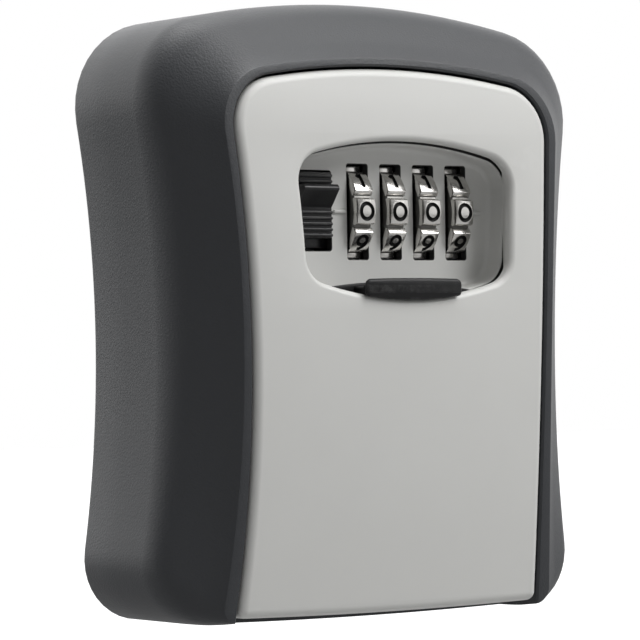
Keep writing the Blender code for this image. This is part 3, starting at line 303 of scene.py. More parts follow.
def settle(obj, helpers=(), sharp=32):
    """Turns an object and its modifiers into a plain mesh at the origin, and removes its helpers."""
    bpy.context.view_layer.update()
    graph = bpy.context.evaluated_depsgraph_get()
    mesh = bpy.data.meshes.new_from_object(obj.evaluated_get(graph))
    mesh.transform(obj.matrix_world)
    obj.modifiers.clear()
    obj.matrix_world = Matrix.Identity(4)
    old, obj.data = obj.data, mesh
    mesh.name = obj.name
    bpy.data.meshes.remove(old)
    for helper in helpers:
        bpy.data.objects.remove(helper, do_unlink=True)
    bm = bmesh.new()
    bm.from_mesh(mesh)
    bmesh.ops.remove_doubles(bm, verts=bm.verts, dist=0.000002)
    bmesh.ops.dissolve_degenerate(bm, edges=bm.edges, dist=0.000002)
    bm.to_mesh(mesh)
    bm.free()
    mesh.shade_smooth()
    mesh.set_sharp_from_angle(angle=math.radians(sharp))
    return obj


def hand_over(piece, body, slot, *nodes):
    """Lets a piece stand for its CAD nodes, on their body; the slot is not used."""
    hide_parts(*nodes)
    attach(piece, body)


def finish_group(name, inputs, outputs):
    """A shader node group with inputs and their values, outputs by name, and its two end nodes."""
    group = bpy.data.node_groups.new(name, 'ShaderNodeTree')
    group.interface.new_socket("Vector", in_out='INPUT', socket_type='NodeSocketVector')
    for socket, value in inputs.items():
        kind = 'NodeSocketColor' if isinstance(value, tuple) else 'NodeSocketFloat'
        group.interface.new_socket(socket, in_out='INPUT', socket_type=kind).default_value = value
    for socket in outputs:
        kind = 'NodeSocketColor' if socket == "Color" else 'NodeSocketFloat'
        group.interface.new_socket(socket, in_out='OUTPUT', socket_type=kind)
    return group, add(group, 'NodeGroupInput', -900), add(group, 'NodeGroupOutput', 700)


def toned(group, ends, cloud, x):
    """Nodes at the end of a group that vary its tone and roughness with a cloudy noise."""
    spread = maths(group, 'SUBTRACT', x, -250, {1: 0.5})
    change = maths(group, 'MULTIPLY_ADD', x + 200, -250, {2: 1.0})
    tone = add(group, 'ShaderNodeMix', x + 400, -100, {0: 1.0}, data_type='RGBA', blend_type='MULTIPLY')
    rough = maths(group, 'MULTIPLY', x + 400, -350)
    wire(group, (cloud, 0, spread, 0), (spread, 0, change, 0), (ends, "Tone change", change, 1),
         (ends, "Tone", tone, 6), (change, 0, tone, 7), (ends, "Roughness", rough, 0), (change, 0, rough, 1))
    return tone, rough


# Moulded grain: a fine pebbled texture with slow changes of tone, as a spark-eroded mould leaves it
inputs = {"Grain size": 0.0003, "Tone": (0.1, 0.1, 0.1, 1), "Tone change": 0.12, "Roughness": 0.55}
grain, ends, exits = finish_group("moulded grain", inputs, ("Color", "Roughness", "Height"))
rate = maths(grain, 'DIVIDE', -700, 200, {0: 1.0})
pebble = add(grain, 'ShaderNodeTexVoronoi', -450, 250, {"Smoothness": 0.6}, feature='SMOOTH_F1')
fine_noise = add(grain, 'ShaderNodeTexNoise', -450, 0, {"Detail": 3.0, "Roughness": 0.6})
slow = add(grain, 'ShaderNodeTexNoise', -450, -250, {"Scale": 55.0, "Detail": 4.0, "Roughness": 0.55})
height = maths(grain, 'MULTIPLY_ADD', -200, 200, {1: 0.6})
tone, rough = toned(grain, ends, slow, -200)
wire(grain, (ends, "Grain size", rate, 1))
for texture in (pebble, fine_noise, slow):
    wire(grain, (ends, "Vector", texture, "Vector"))
for texture in (pebble, fine_noise):
    wire(grain, (rate, 0, texture, "Scale"))
wire(grain, (pebble, "Distance", height, 0), (fine_noise, 0, height, 2), (tone, 2, exits, "Color"),
     (rough, 0, exits, "Roughness"), (height, 0, exits, "Height"))

# Edge rub: a broken mask on outer edges, where handling polishes plastic and bares metal
rub, ends, exits = finish_group("edge rub", {"Reach": 0.06, "Patch size": 0.002}, ("Mask",))
edge = add(rub, 'ShaderNodeNewGeometry', -700, 200)
band = add(rub, 'ShaderNodeMapRange', -300, 200, {1: 0.52, 2: 0.60, 3: 0.0, 4: 1.0})
rate = maths(rub, 'DIVIDE', -500, -150, {0: 1.0})
patches = add(rub, 'ShaderNodeTexNoise', -300, -150, {"Detail": 5.0, "Roughness": 0.65})
broken = add(rub, 'ShaderNodeMapRange', -100, -150, {1: 0.42, 2: 0.62, 3: 0.0, 4: 1.0})
mask = maths(rub, 'MULTIPLY', 100, 100)
reach = maths(rub, 'MULTIPLY', 300, 100)
wire(rub, (edge, "Pointiness", band, 0), (ends, "Patch size", rate, 1), (rate, 0, patches, "Scale"),
     (ends, "Vector", patches, "Vector"), (patches, 0, broken, 0), (band, 0, mask, 0), (broken, 0, mask, 1),
     (mask, 0, reach, 0), (ends, "Reach", reach, 1), (reach, 0, exits, "Mask"))


def finish(name, group, settings, reach, rubbed, bump, **constants):
    """A material with the tone, roughness and relief of a group, and another colour on rubbed edges."""
    material = bpy.data.materials.new(name)
    material.use_nodes = True
    tree = material.node_tree
    shader = tree.nodes["Principled BSDF"]
    for socket, value in constants.items():
        shader.inputs[socket].default_value = value
    place = add(tree, 'ShaderNodeTexCoord', -900)
    surface = add(tree, 'ShaderNodeGroup', -600, 100, settings, node_tree=group)
    worn = add(tree, 'ShaderNodeGroup', -600, -300, {"Reach": reach}, node_tree=rub)
    colours = add(tree, 'ShaderNodeMix', -300, 150, {7: (*rubbed, 1)}, data_type='RGBA')
    relief = add(tree, 'ShaderNodeBump', -300, -150, {"Strength": 1.0, "Distance": bump})
    wire(tree, (place, "Object", surface, "Vector"), (place, "Object", worn, "Vector"),
         (worn, "Mask", colours, 0), (surface, "Color", colours, 6), (colours, 2, shader, "Base Color"),
         (surface, "Roughness", shader, "Roughness"), (surface, "Height", relief, "Height"),
         (relief, 0, shader, "Normal"))
    return material


def moulded(name, colour, roughness, size, bump, change=0.12, rubbed=(0.3, 0.3, 0.3), reach=0.5, level=0.5):
    """A moulded or painted finish: grain, slow changes of tone and rubbed edges."""
    settings = {"Grain size": size, "Tone": (*colour, 1), "Tone change": change, "Roughness": roughness}
    return finish(name, grain, settings, reach, rubbed, bump, **{"Specular IOR Level": level})


CASE = outline(0.0472, -0.006, 0.250, 0.060, 0.190, -0.060, 1.300, 0.017, 0.012)
CASE_REAR = dict(CASE, half=0.0464)
LIP = outline(0.0374, -0.014, 0.400, 0.0488, 0.180, -0.0594, 1.300, 0.012, 0.003)
DOOR = outline(0.0347, -0.021, 0.550, 0.0465, 0.176, -0.0585, 1.300, 0.010, 0.0016)
ridge_at = bowed(0.0271, 0.0012, 0)
lip_at = bowed(0.0380, 0.0049, 0.0024)
door_at = bowed(0.0386, 0.0051, 0.0014)
LEDGE_BACK, LEDGE_FRONT = 0.01906, 0.02086
CASE_WALL = 0.0024
jacket_plastic = moulded("case_grain", (0.029, 0.031, 0.035), 0.48, 0.00042, 0.00005, 0.10,
                         (0.06, 0.063, 0.07), 0.5, 0.45)

ridge_ring, lip_ring = ring(CASE, 0, ridge_at), ring(LIP, 0, lip_at)
ridge_low = ring(CASE, 0, shifted(ridge_at, 0.0045))
bezel_low = blend(ridge_ring, lip_ring, 0.32)
rear_layers = [(-CASE_WALL, LEDGE_BACK), (-CASE_WALL, 0), (-0.0008, 0), (-0.0002, 0.0002), (0, 0.0008)]
jacket_rings = [ring(CASE_REAR, grow, depth) for grow, depth in rear_layers]
jacket_rings.append(blend(jacket_rings[-1], ridge_low, 0.5))
for step in range(11):
    share = step / 10
    side = blend(ridge_low, ridge_ring, share)
    jacket_rings.append(blend(side, blend(ridge_ring, bezel_low, share), share))
lip_low = ring(LIP, 0, shifted(lip_at, 0.0004))
jacket_rings += [blend(bezel_low, lip_low, 0.5), lip_low, ring(LIP, -0.00018, shifted(lip_at, 0.0001)),
                 ring(LIP, -0.0006, lip_at)]
case_jacket = loft("case_jacket", jacket_rings, jacket_plastic)
FAR = 0.03
pocket_shape = dict(DOOR, bottom=-0.065)
pocket = slab("pocket", pocket_shape, [(0.0005, LEDGE_FRONT), (0.0005, shifted(lip_at, 0.0004)),
                                       (0.0013, shifted(lip_at, -0.0004)), (0.0013, shifted(lip_at, -FAR))])
mouth_shape = dict(DOOR, bottom=-0.0500, corner_bottom=0.0060)
mouth = slab("mouth", mouth_shape, [(0.0002, LEDGE_BACK - 0.005), (0.0002, LEDGE_FRONT + 0.005)])
hollow_out = dict(CASE, bottom=-0.044, corner_bottom=0.006)
hollow_in = dict(DOOR, bottom=-0.044 + 0.0024 + 0.0040 + 0.0016, corner_bottom=0.006)
groove = loft("groove", [ring(dict(hollow_out, half=0.0464), -0.0028, LEDGE_BACK - 0.005),
                         ring(hollow_out, -0.0028, shifted(ridge_at, 0.0009)),
                         ring(hollow_in, 0.0044, shifted(lip_at, 0.0051))])
core = slab("core", hollow_in, [(0.0040, LEDGE_BACK - FAR), (0.0040, 0.068)])
combine(groove, [core], 'DIFFERENCE')
PIN_HALF, PIN_R, PIN_HOLE_R, HINGE_DEPTH, HINGE_Z = 0.0387, 0.0015, 0.0018, 0.02806, -0.054
pin_hole = rod("pin_hole", PIN_HOLE_R, (-PIN_HALF - 0.0003, HINGE_DEPTH, HINGE_Z),
               (PIN_HALF + 0.0003, HINGE_DEPTH, HINGE_Z))
recess = block("recess", (-0.0093, 0.0093), (0.0140, 0.02546), (0.0462, 0.0507))
RIVET_XS, RIVET_Z, RIVET_HOLE_R = (-0.006, 0.006), 0.04865, 0.0012
rivet_holes = [rod("rivet_hole", RIVET_HOLE_R, (x, 0.018, RIVET_Z), (x, 0.02806, RIVET_Z), 24)
               for x in RIVET_XS]
cutters = [mouth, pocket, groove, pin_hole, recess, *rivet_holes]
combine(case_jacket, cutters, 'DIFFERENCE')
settle(case_jacket, cutters + [core])
hand_over(case_jacket, "case", "jacket", "case_shell")


# Back plate
# The flat steel plate that is screwed to the wall through four holes. It lies inside the jacket's rear edge
# and is zinc plated, with the faint lines of the rolled sheet still in it.


# Rolled metal: fine lines along one direction, cloudy plating and a few short scratches
inputs = {"Line size": 0.0002, "Tone": (0.5, 0.5, 0.5, 1), "Tone change": 0.2, "Roughness": 0.35}
rolling, ends, exits = finish_group("rolled metal", inputs, ("Color", "Roughness", "Height"))
rate = maths(rolling, 'DIVIDE', -720, 250, {0: 1.0})
drawn = add(rolling, 'ShaderNodeMapping', -720, 0, {"Scale": (0.04, 1.0, 1.0)})
lines = add(rolling, 'ShaderNodeTexNoise', -480, 150, {"Detail": 3.0, "Roughness": 0.55})
cloud = add(rolling, 'ShaderNodeTexNoise', -480, -150, {"Scale": 160.0, "Detail": 4.0, "Roughness": 0.6})
scratch = add(rolling, 'ShaderNodeTexVoronoi', -480, -400, {"Scale": 420.0}, feature='DISTANCE_TO_EDGE')
fine_scratch = add(rolling, 'ShaderNodeMapRange', -260, -400, {1: 0.0, 2: 0.02, 3: 1.0, 4: 0.0})
tone, rough = toned(rolling, ends, cloud, -220)
worn = maths(rolling, 'MULTIPLY_ADD', 380, -300, {1: 0.06})
wire(rolling, (ends, "Line size", rate, 1), (rate, 0, lines, "Scale"), (ends, "Vector", drawn, "Vector"),
     (drawn, 0, lines, "Vector"), (ends, "Vector", cloud, "Vector"), (drawn, 0, scratch, "Vector"),
     (scratch, "Distance", fine_scratch, 0), (fine_scratch, 0, worn, 0), (rough, 0, worn, 2),
     (tone, 2, exits, "Color"), (worn, 0, exits, "Roughness"), (lines, 0, exits, "Height"))


def plated(name, colour, roughness, size=0.00018, bump=0.000012, change=0.25, rubbed=None, reach=0.35):
    """A plated or turned metal finish: drawn lines, cloudy plating and bright rubbed edges."""
    settings = {"Line size": size, "Tone": (*colour, 1), "Tone change": change, "Roughness": roughness}
    bare = rubbed or [min(part * 1.25, 0.9) for part in colour]
    return finish(name, rolling, settings, reach, bare, bump, Metallic=1.0)


zinc = plated("zinc_plating", (0.50, 0.51, 0.52), 0.40, bump=0.00001, change=0.35)
PLATE_FRONT = 0.002
HOLE_R = 0.0026
HOLE_SPOTS = [(x, z) for x in (-0.022, 0.022) for z in (0.034, -0.040)]
back_plate = slab("wall_plate", CASE_REAR, [(-0.0030, 0), (-0.0027, 0.0003), (-0.0027, PLATE_FRONT - 0.0003),
                                            (-0.0030, PLATE_FRONT)], zinc)
wall_holes = [rod("wall_hole", HOLE_R, (x, -0.005, z), (x, 0.010, z)) for x, z in HOLE_SPOTS]
combine(back_plate, wall_holes, 'DIFFERENCE')
settle(back_plate)
hand_over(back_plate, "case", "plate", "back_plate")


# Key tray, seal and hook
# The pressed steel tray that holds the keys: drawn in one piece with a flat flange, which is clamped behind
# the jacket's ledge. A black rubber ring lies round its mouth. A bent wire hook stands on a washer inside.
TRAY = dict(DOOR, bottom=-0.0497, corner_bottom=0.0060)
TRAY_FLOOR, FLANGE_FRONT = 0.0035, LEDGE_BACK - 0.0003
FLANGE_BACK = FLANGE_FRONT - 0.0012
liner_steel = plated("liner_steel", (0.42, 0.43, 0.44), 0.34, size=0.00025, change=0.3)
rubber = moulded("seal_rubber", (0.018, 0.018, 0.019), 0.72, 0.00025, 0.00002, 0.2,
                 (0.05, 0.05, 0.05), 0.4, 0.3)


def quarter(steps):
    """Angles of a quarter turn in equal steps."""
    return [math.pi / 2 * step / steps for step in range(steps + 1)]


def tray_turn(outer, back, radius):
    """Layers of the drawn corner between the tray's floor and its wall."""
    return [(outer - radius * (1 - math.sin(a)), back + radius * (1 - math.cos(a))) for a in quarter(4)]


def carve(obj, cutters, sharp=32):
    """Cuts a body with others, which are then removed, and settles it."""
    combine(obj, cutters, 'DIFFERENCE')
    return settle(obj, cutters, sharp)


tray_layers = [*tray_turn(-0.0019, TRAY_FLOOR, 0.0008), (-0.0019, FLANGE_FRONT - 0.0004),
               (-0.0018, FLANGE_FRONT - 0.0001), (-0.0015, FLANGE_FRONT), (0.0038, FLANGE_FRONT),
               (0.0040, FLANGE_FRONT - 0.0002), (0.0040, FLANGE_BACK + 0.0002), (0.0038, FLANGE_BACK),
               (-0.0007, FLANGE_BACK), *reversed(tray_turn(-0.0007, TRAY_FLOOR - 0.0012, 0.0009))]
key_tray = slab("key_liner", TRAY, tray_layers, liner_steel)
carve(key_tray, wall_holes)
hand_over(key_tray, "case", "liner", "key_tray")

SEAL_BACK, SEAL_FRONT = FLANGE_FRONT + 0.0003, LEDGE_FRONT
seal = slab("mouth_seal", TRAY, [(-0.0001, SEAL_BACK), (-0.0001, SEAL_FRONT - 0.0005),
                                 (-0.0002, SEAL_FRONT - 0.0002), (-0.0005, SEAL_FRONT)], rubber)
bore = slab("seal_bore", TRAY, [(-0.0019, SEAL_BACK - 0.002), (-0.0019, SEAL_FRONT - 0.0004),
                                (-0.0015, SEAL_FRONT + 0.0002), (-0.0015, SEAL_FRONT + 0.002)])
carve(seal, [bore])
hand_over(seal, "case", "seal", "tray_seal")


def tube(name, paths, radius, smooth=3, cyclic=False, material=None, sharp=40):
    """Round wires along paths of x, depth and z points, as one mesh with welded ends."""
    curve = bpy.data.curves.new(name + "_path", 'CURVE')
    curve.dimensions = '3D'
    curve.bevel_depth, curve.bevel_resolution = radius, smooth
    curve.use_fill_caps = not cyclic
    for points in paths:
        line = curve.splines.new('POLY')
        line.points.add(len(points) - 1)
        line.use_cyclic_u = cyclic
        for spot, (x, depth, z) in zip(line.points, points):
            spot.co = (x, -depth, z, 1)
    path = put(name + "_path", curve)
    bpy.context.view_layer.update()
    mesh = bpy.data.meshes.new_from_object(path.evaluated_get(bpy.context.evaluated_depsgraph_get()))
    bpy.data.objects.remove(path, do_unlink=True)
    bm = bmesh.new()
    bm.from_mesh(mesh)
    bpy.data.meshes.remove(mesh)
    bmesh.ops.remove_doubles(bm, verts=bm.verts, dist=0.00001)
    return new_object(name, bm, material, sharp)


wire_steel = plated("wire_steel", (0.55, 0.55, 0.55), 0.25, size=0.0001)
HOOK_Z, HOOK_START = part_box("key_hook")[0][2] + 0.0032, TRAY_FLOOR + 0.0003
HOOK_BEND, HOOK_OUT = 0.0022, HOOK_START + 0.0075
hook_line = [(0, HOOK_START + 0.0004, HOOK_Z), (0, HOOK_OUT - HOOK_BEND - 0.001, HOOK_Z)]
hook_line += [(0, HOOK_OUT - HOOK_BEND + HOOK_BEND * math.sin(a), HOOK_Z + HOOK_BEND * (1 - math.cos(a)))
              for a in quarter(10)]
hook_line += [(0, HOOK_OUT, HOOK_Z + HOOK_BEND + 0.0028)]
key_hook = rod("hook", 0.0032, (0, HOOK_START, HOOK_Z), (0, HOOK_START + 0.0008, HOOK_Z), 48, wire_steel)
hook_wire = tube("hook_wire", [hook_line], 0.0010, 4, material=wire_steel)
combine(key_hook, [hook_wire], 'UNION')
settle(key_hook, [hook_wire])
hand_over(key_hook, "case", "liner", "key_hook")


# Keeper, hinge pin and fasteners
# The latch hooks under a thick steel keeper, fixed to the jacket with two rivets. The door swings on one long
# polished pin. Four cross-head screws hold the cover behind the wheels and one holds the open lever.
bright = plated("bright_steel", (0.60, 0.60, 0.60), 0.26, size=0.00015, change=0.2)
pin_steel = plated("pin_steel", (0.66, 0.66, 0.66), 0.20, size=0.0002, change=0.12)
KEEPER_BACK, KEEPER_FRONT = 0.023364, 0.025164


def soft_box(name, x, z, corner, layers, material=None, sharp=32):
    """A slab with rounded corners: its outline in x and z, and its layers from back to front."""
    middle = (x[0] + x[1]) / 2
    shape = outline((x[1] - x[0]) / 2, (z[0] + z[1]) / 2, 1.0, z[1], 1.0, z[0], 1.0, corner, corner, middle)
    return loft(name, [ring(shape, grow, depth, 1) for grow, depth in layers], material, sharp)


def eased(back, front, edge):
    """Layers of a slab whose front and back edges are eased."""
    return [(-edge, back), (-edge * 0.3, back + edge * 0.3), (0, back + edge), (0, front - edge),
            (-edge * 0.3, front - edge * 0.3), (-edge, front)]


keeper = soft_box("keeper_bar", (-0.009, 0.009), (0.0469, 0.0504), 0.0006,
                  eased(KEEPER_BACK, KEEPER_FRONT, 0.0002), bright)
keeper_holes = [rod("rivet_hole", RIVET_HOLE_R, (x, 0.020, RIVET_Z), (x, 0.028, RIVET_Z)) for x in RIVET_XS]
carve(keeper, keeper_holes)
hand_over(keeper, "case", "bright_steel", "keeper")


def turned(name, profile, material, sides=48, sharp=32):
    """A body turned on the x axis from points of x and radius; it is then moved or stood where it belongs."""
    angles = [math.tau * i / sides for i in range(sides)]
    rings = [[(x, radius * math.cos(a), radius * math.sin(a)) for a in angles] for x, radius in profile]
    return loft(name, rings, material, sharp, flat=True)


hinge_pin = turned("pin", [(-PIN_HALF, PIN_R - 0.0004), (-PIN_HALF + 0.0004, PIN_R),
                           (PIN_HALF - 0.0004, PIN_R), (PIN_HALF, PIN_R - 0.0004)], pin_steel)
hinge_pin.data.transform(Matrix.Translation((0, -HINGE_DEPTH, HINGE_Z)))
hand_over(hinge_pin, "case", "bright_steel", "hinge_pin")


def standing_tree(name, piece, *more):
    """Node tree that stands a piece on each point and gives it its finish, with more inputs if needed."""
    tree = bpy.data.node_groups.new(name, 'GeometryNodeTree')
    for socket, kind in (("Spots", 'NodeSocketGeometry'), (piece, 'NodeSocketObject'),
                         ("Finish", 'NodeSocketMaterial'), *more):
        tree.interface.new_socket(socket, in_out='INPUT', socket_type=kind)
    tree.interface.new_socket("Result", in_out='OUTPUT', socket_type='NodeSocketGeometry')
    ends, exits = add(tree, 'NodeGroupInput', -900), add(tree, 'NodeGroupOutput', 800)
    body = add(tree, 'GeometryNodeObjectInfo', -550, -150)
    stood = add(tree, 'GeometryNodeInstanceOnPoints', -100, 0)
    real = add(tree, 'GeometryNodeRealizeInstances', 200, 0)
    coat = add(tree, 'GeometryNodeSetMaterial', 500, 0)
    wire(tree, (ends, piece, body, "Object"), (ends, "Spots", stood, "Points"),
         (body, "Geometry", stood, "Instance"), (stood, 0, real, 0), (real, 0, coat, "Geometry"),
         (ends, "Finish", coat, "Material"), (coat, 0, exits, 0))
    return tree, ends, stood


def grown(name, spots, tree, values, sharp=32):
    """The plain mesh that a node tree makes from points, with its inputs set by name."""
    mesh = bpy.data.meshes.new(name)
    mesh.from_pydata([(x, -depth, z) for x, depth, z in spots], [], [])
    obj = put(name, mesh)
    step = obj.modifiers.new("nodes", 'NODES')
    step.node_group = tree
    for item in tree.interface.items_tree:
        if item.in_out == 'INPUT' and item.name in values:
            step[item.identifier] = values[item.name]
    return settle(obj, sharp=sharp)


def headed(name, head_r, head, shank_r, shank, crown, material):
    """A rivet or screw along the depth axis: its head behind the seat, its shank in front of it."""
    profile = [(-head, head_r * 0.45), (-head * (1 - crown * 0.2), head_r * 0.75),
               (-head * (1 - crown), head_r * 0.96), (-head * 0.3, head_r), (0, head_r - 0.00005),
               (0.00002, shank_r), (shank - shank_r * 0.5, shank_r), (shank, shank_r * 0.5)]
    body = turned(name, profile, material, 32)
    body.data.transform(Matrix.Rotation(math.radians(-90), 4, 'Z'))
    return body


rivet = headed("rivet_shape", 0.0015, 0.0006, 0.0009, 0.0045, 0.7, bright)
screw = headed("screw_shape", 0.0020, 0.0009, 0.0010, 0.0060, 0.5, bright)
cross = [soft_box("cross", (-reach, reach), (-wide, wide), 0.0001, [(0, -0.0012), (0, -0.00035)])
         for reach, wide in ((0.0011, 0.00025), (0.00025, 0.0011))]
carve(screw, cross)
# Fastener tree: each one's drive stands at a random angle of its own
standing, ends, stood = standing_tree("fasteners on their spots", "Fastener", ("Turn", 'NodeSocketFloat'),
                                      ("Seed", 'NodeSocketInt'))
angle = add(standing, 'FunctionNodeRandomValue', -550, -400, data_type='FLOAT')
spin = add(standing, 'ShaderNodeCombineXYZ', -350, -400)
wire(standing, (ends, "Turn", angle, 3), (ends, "Seed", angle, "Seed"), (angle, 1, spin, "Y"),
     (spin, 0, stood, "Rotation"))
SEAT = KEEPER_BACK - 0.0003
rivets = grown("keeper_rivets", [(x, SEAT, RIVET_Z) for x in RIVET_XS], standing,
               {"Fastener": rivet, "Finish": bright, "Turn": 0.0, "Seed": 1})
hand_over(rivets, "case", "bright_steel", "keeper_rivet_l", "keeper_rivet_r")
COVER_BACK = 0.010007
screw_boxes = [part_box("cover_screw_%d" % number) for number in (1, 2, 3, 4)]
SCREW_SPOTS = [((low[0] + high[0]) / 2, COVER_BACK - 0.0003, (low[2] + high[2]) / 2)
               for low, high in screw_boxes]
cover_screws = grown("cover_screws", SCREW_SPOTS, standing,
                     {"Fastener": screw, "Finish": bright, "Turn": math.pi / 2, "Seed": 5})
hand_over(cover_screws, "door", "bright_steel",
          "cover_screw_1", "cover_screw_2", "cover_screw_3", "cover_screw_4")
for shape in (rivet, screw):
    bpy.data.objects.remove(shape, do_unlink=True)


# Door front
# The visible face of the door: one light grey moulding, bowed from top to foot, with rounded edges, guides
# for the shutter behind it and a window whose rim rolls softly inwards. Its finish is a fine satin.
SKIRT_BACK, PANEL_RIM = 0.026364, 0.0336
WINDOW = outline(0.0239, -0.020, 0.550, 0.0326, 0.085, 0.0021, 0.075, 0.0060, 0.0055, 0.0019)
door_paint = moulded("door_satin", (0.650, 0.650, 0.630), 0.46, 0.00022, 0.000008, 0.05,
                     (0.71, 0.71, 0.69), 0.3)


def rolled(face, radius, steps, inward=True):
    """Layers of an edge that rolls over from a side wall to a face, or from a hole's wall outwards."""
    sign = -1 if inward else 1
    return [(sign * radius * (1 - math.cos(a)), shifted(face, radius * (1 - math.sin(a))))
            for a in quarter(steps)]


door_front = slab("door_front", DOOR, [(0, SKIRT_BACK), *rolled(door_at, 0.0016, 7)], door_paint)
door_hollow = slab("door_hollow", pocket_shape, [(-0.0022, SKIRT_BACK - 0.005),
                                                 (-0.0022, shifted(door_at, 0.0020))])
guides = [block("guide", (x - 0.00075, x + 0.00075), (PANEL_RIM + 0.0003, 0.0436), (-0.0270, 0.0340))
          for x in (-0.0290, 0.0290)]
combine(door_hollow, guides, 'DIFFERENCE')
window = slab("window", WINDOW, [(0, SKIRT_BACK), *rolled(door_at, 0.0012, 8, inward=False),
                                 (0.0014, shifted(door_at, -0.0001)), (0.0014, shifted(door_at, -0.005))])
skirt_hole = rod("skirt_hole", PIN_HOLE_R, (-PIN_HALF, HINGE_DEPTH, HINGE_Z),
                 (PIN_HALF, HINGE_DEPTH, HINGE_Z))
combine(door_front, [door_hollow, window, skirt_hole], 'DIFFERENCE')
settle(door_front, [door_hollow, window, skirt_hole, *guides])
hand_over(door_front, "door", "door_paint", "door_shell")


# Dial panel
# The dished floor of the window, moulded in the same grey as the door, on a skirt that stands on the chassis.
# It has a slot for each wheel, one for the open lever and a short raised index mark at each end of the row.
DIAL_XS = [-0.0042 + 0.00805 * i for i in range(4)]
DIAL_DEPTH, DIAL_Z = 0.0221852, 0.0191
SLOT_HALF, SLOT_REACH = 0.00245, 0.00922
LEVER_X, LEVER_Z = (-0.0195, -0.0106), (0.0115, 0.0269)
# Painted shade: the panel's satin is the door's grey made a little darker, for its place deep in the window
shaded_panel_paint = moulded("panel_satin", (0.630, 0.630, 0.611), 0.44, 0.00020, 0.000008, 0.05,
                      (0.69, 0.69, 0.68), 0.3)
# Painted shade: a near-black finish that the cutters leave on the slot walls and the rim's front, where
# little light reaches
slot_shade = moulded("slot_shade", (0.012, 0.012, 0.012), 0.55, 0.0002, 0.00001, 0.2, (0.03, 0.03, 0.03), 0.3)
DISH = dict(WINDOW, half=0.0245, middle=0.0026, top=0.0320)
PANEL_FLOOR, PANEL_BACK, PANEL_CORNER = 0.029364, 0.027764, 0.0011
panel_layers = [(0.0030, SKIRT_BACK), (0.0030, PANEL_RIM - 0.0003), (0.0028, PANEL_RIM), (0.0002, PANEL_RIM),
                (0, PANEL_RIM - 0.0002)]
panel_layers += [(-0.0002 - PANEL_CORNER * (1 - math.cos(a)), PANEL_FLOOR + PANEL_CORNER * (1 - math.sin(a)))
                 for a in quarter(7)]
dial_panel = slab("wheel_panel", DISH, panel_layers, shaded_panel_paint)
panel_hollow = slab("panel_hollow", DISH, [(0.0018, SKIRT_BACK - 0.005), (0.0018, PANEL_BACK)], shaded_panel_paint)


def slot_cutter(name, x, z, corner):
    """A cutter for a slot through the panel whose front edge is eased; it leaves painted shade, a near-black
    finish, on the slot's walls.
    """
    return soft_box(name, x, z, corner, [(0, PANEL_BACK - 0.005), (0, PANEL_FLOOR - 0.00022),
                                         (0.00007, PANEL_FLOOR - 0.00006), (0.0003, PANEL_FLOOR + 0.0001),
                                         (0.0003, PANEL_FLOOR + 0.004)], slot_shade)


slot_z = (DIAL_Z - SLOT_REACH, DIAL_Z + SLOT_REACH)
slots = [slot_cutter("wheel_slot", (x - SLOT_HALF, x + SLOT_HALF), slot_z, 0.0004) for x in DIAL_XS]
slots.append(slot_cutter("lever_slot", LEVER_X, LEVER_Z, 0.0005))
mark_layers = [(0, PANEL_FLOOR - 0.0004), (0, PANEL_FLOOR + 0.0003), (-0.00008, PANEL_FLOOR + 0.00045),
               (-0.00018, PANEL_FLOOR + 0.0005)]
marks = [soft_box("index_mark", x, (DIAL_Z - 0.00035, DIAL_Z + 0.00035), 0.00033, mark_layers, shaded_panel_paint)
         for x in ((-0.01015, -0.00725), (0.0233, 0.0262))]
combine(dial_panel, [panel_hollow, *slots], 'DIFFERENCE')
# Painted shade: the front of the rim round the dish is cut into a near-black skin, standing for the gap
# behind the door front, which lets in no light
brim_shade = slab("brim_shade", DISH, [(0.0060, PANEL_RIM - 0.00008), (0.0060, PANEL_RIM + 0.002)],
                  slot_shade)
brim_core = slab("brim_core", DISH, [(0.0003, PANEL_RIM - 0.002), (0.0003, PANEL_RIM + 0.004)])
combine(brim_shade, [brim_core], 'DIFFERENCE')
combine(dial_panel, [brim_shade], 'DIFFERENCE')
combine(dial_panel, marks, 'UNION')
for step in dial_panel.modifiers:
    step.material_mode = 'TRANSFER'
settle(dial_panel, [panel_hollow, *slots, *marks, brim_shade, brim_core])
hand_over(dial_panel, "door", "door_paint", "dial_panel")


# Door chassis and cover
# The die-cast plate behind the door front: it carries the wheel box, the screw posts, the shutter's rails and
# the hinge knuckles, and is left as cast, with a sand-fine skin. A plated cover closes the wheel box.
casting = moulded("chassis_casting", (0.36, 0.37, 0.38), 0.46, 0.00035, 0.00003, 0.25, (0.6, 0.6, 0.6), 0.6)
casting.node_tree.nodes["Principled BSDF"].inputs["Metallic"].default_value = 0.9


def ease(node, width, material):
    """Gives a CAD node that keeps its shape its finish, and eases its sharp edges."""
    obj = frame["nodes"][node]
    obj.data.materials.clear()
    obj.data.materials.append(material)
    step = obj.modifiers.new("eased edges", 'BEVEL')
    step.width, step.segments, step.limit_method, step.angle_limit = width, 2, 'ANGLE', math.radians(40)
    step.use_clamp_overlap = True
    step.harden_normals = True


ease("door_chassis", 0.00015, casting)
ease("mech_cover", 0.0002, bright)


# Number wheels
# Four nickel-plated die-cast wheels with ten raised, rounded pads each. The numbers are engraved into the
# pads and filled with black. They grow upwards: a 1 stands above the 0 of the reading line and a 9 below it.
nickel = plated("wheel_nickel", (0.66, 0.645, 0.62), 0.19, size=0.00014, bump=0.000006, change=0.3,
                rubbed=(0.85, 0.84, 0.82), reach=0.4)
black_fill = moulded("black_fill", (0.004, 0.004, 0.004), 0.55, 0.0001, 0.00001, 0.3,
                     (0.01, 0.01, 0.01), 0.2, 0.15)
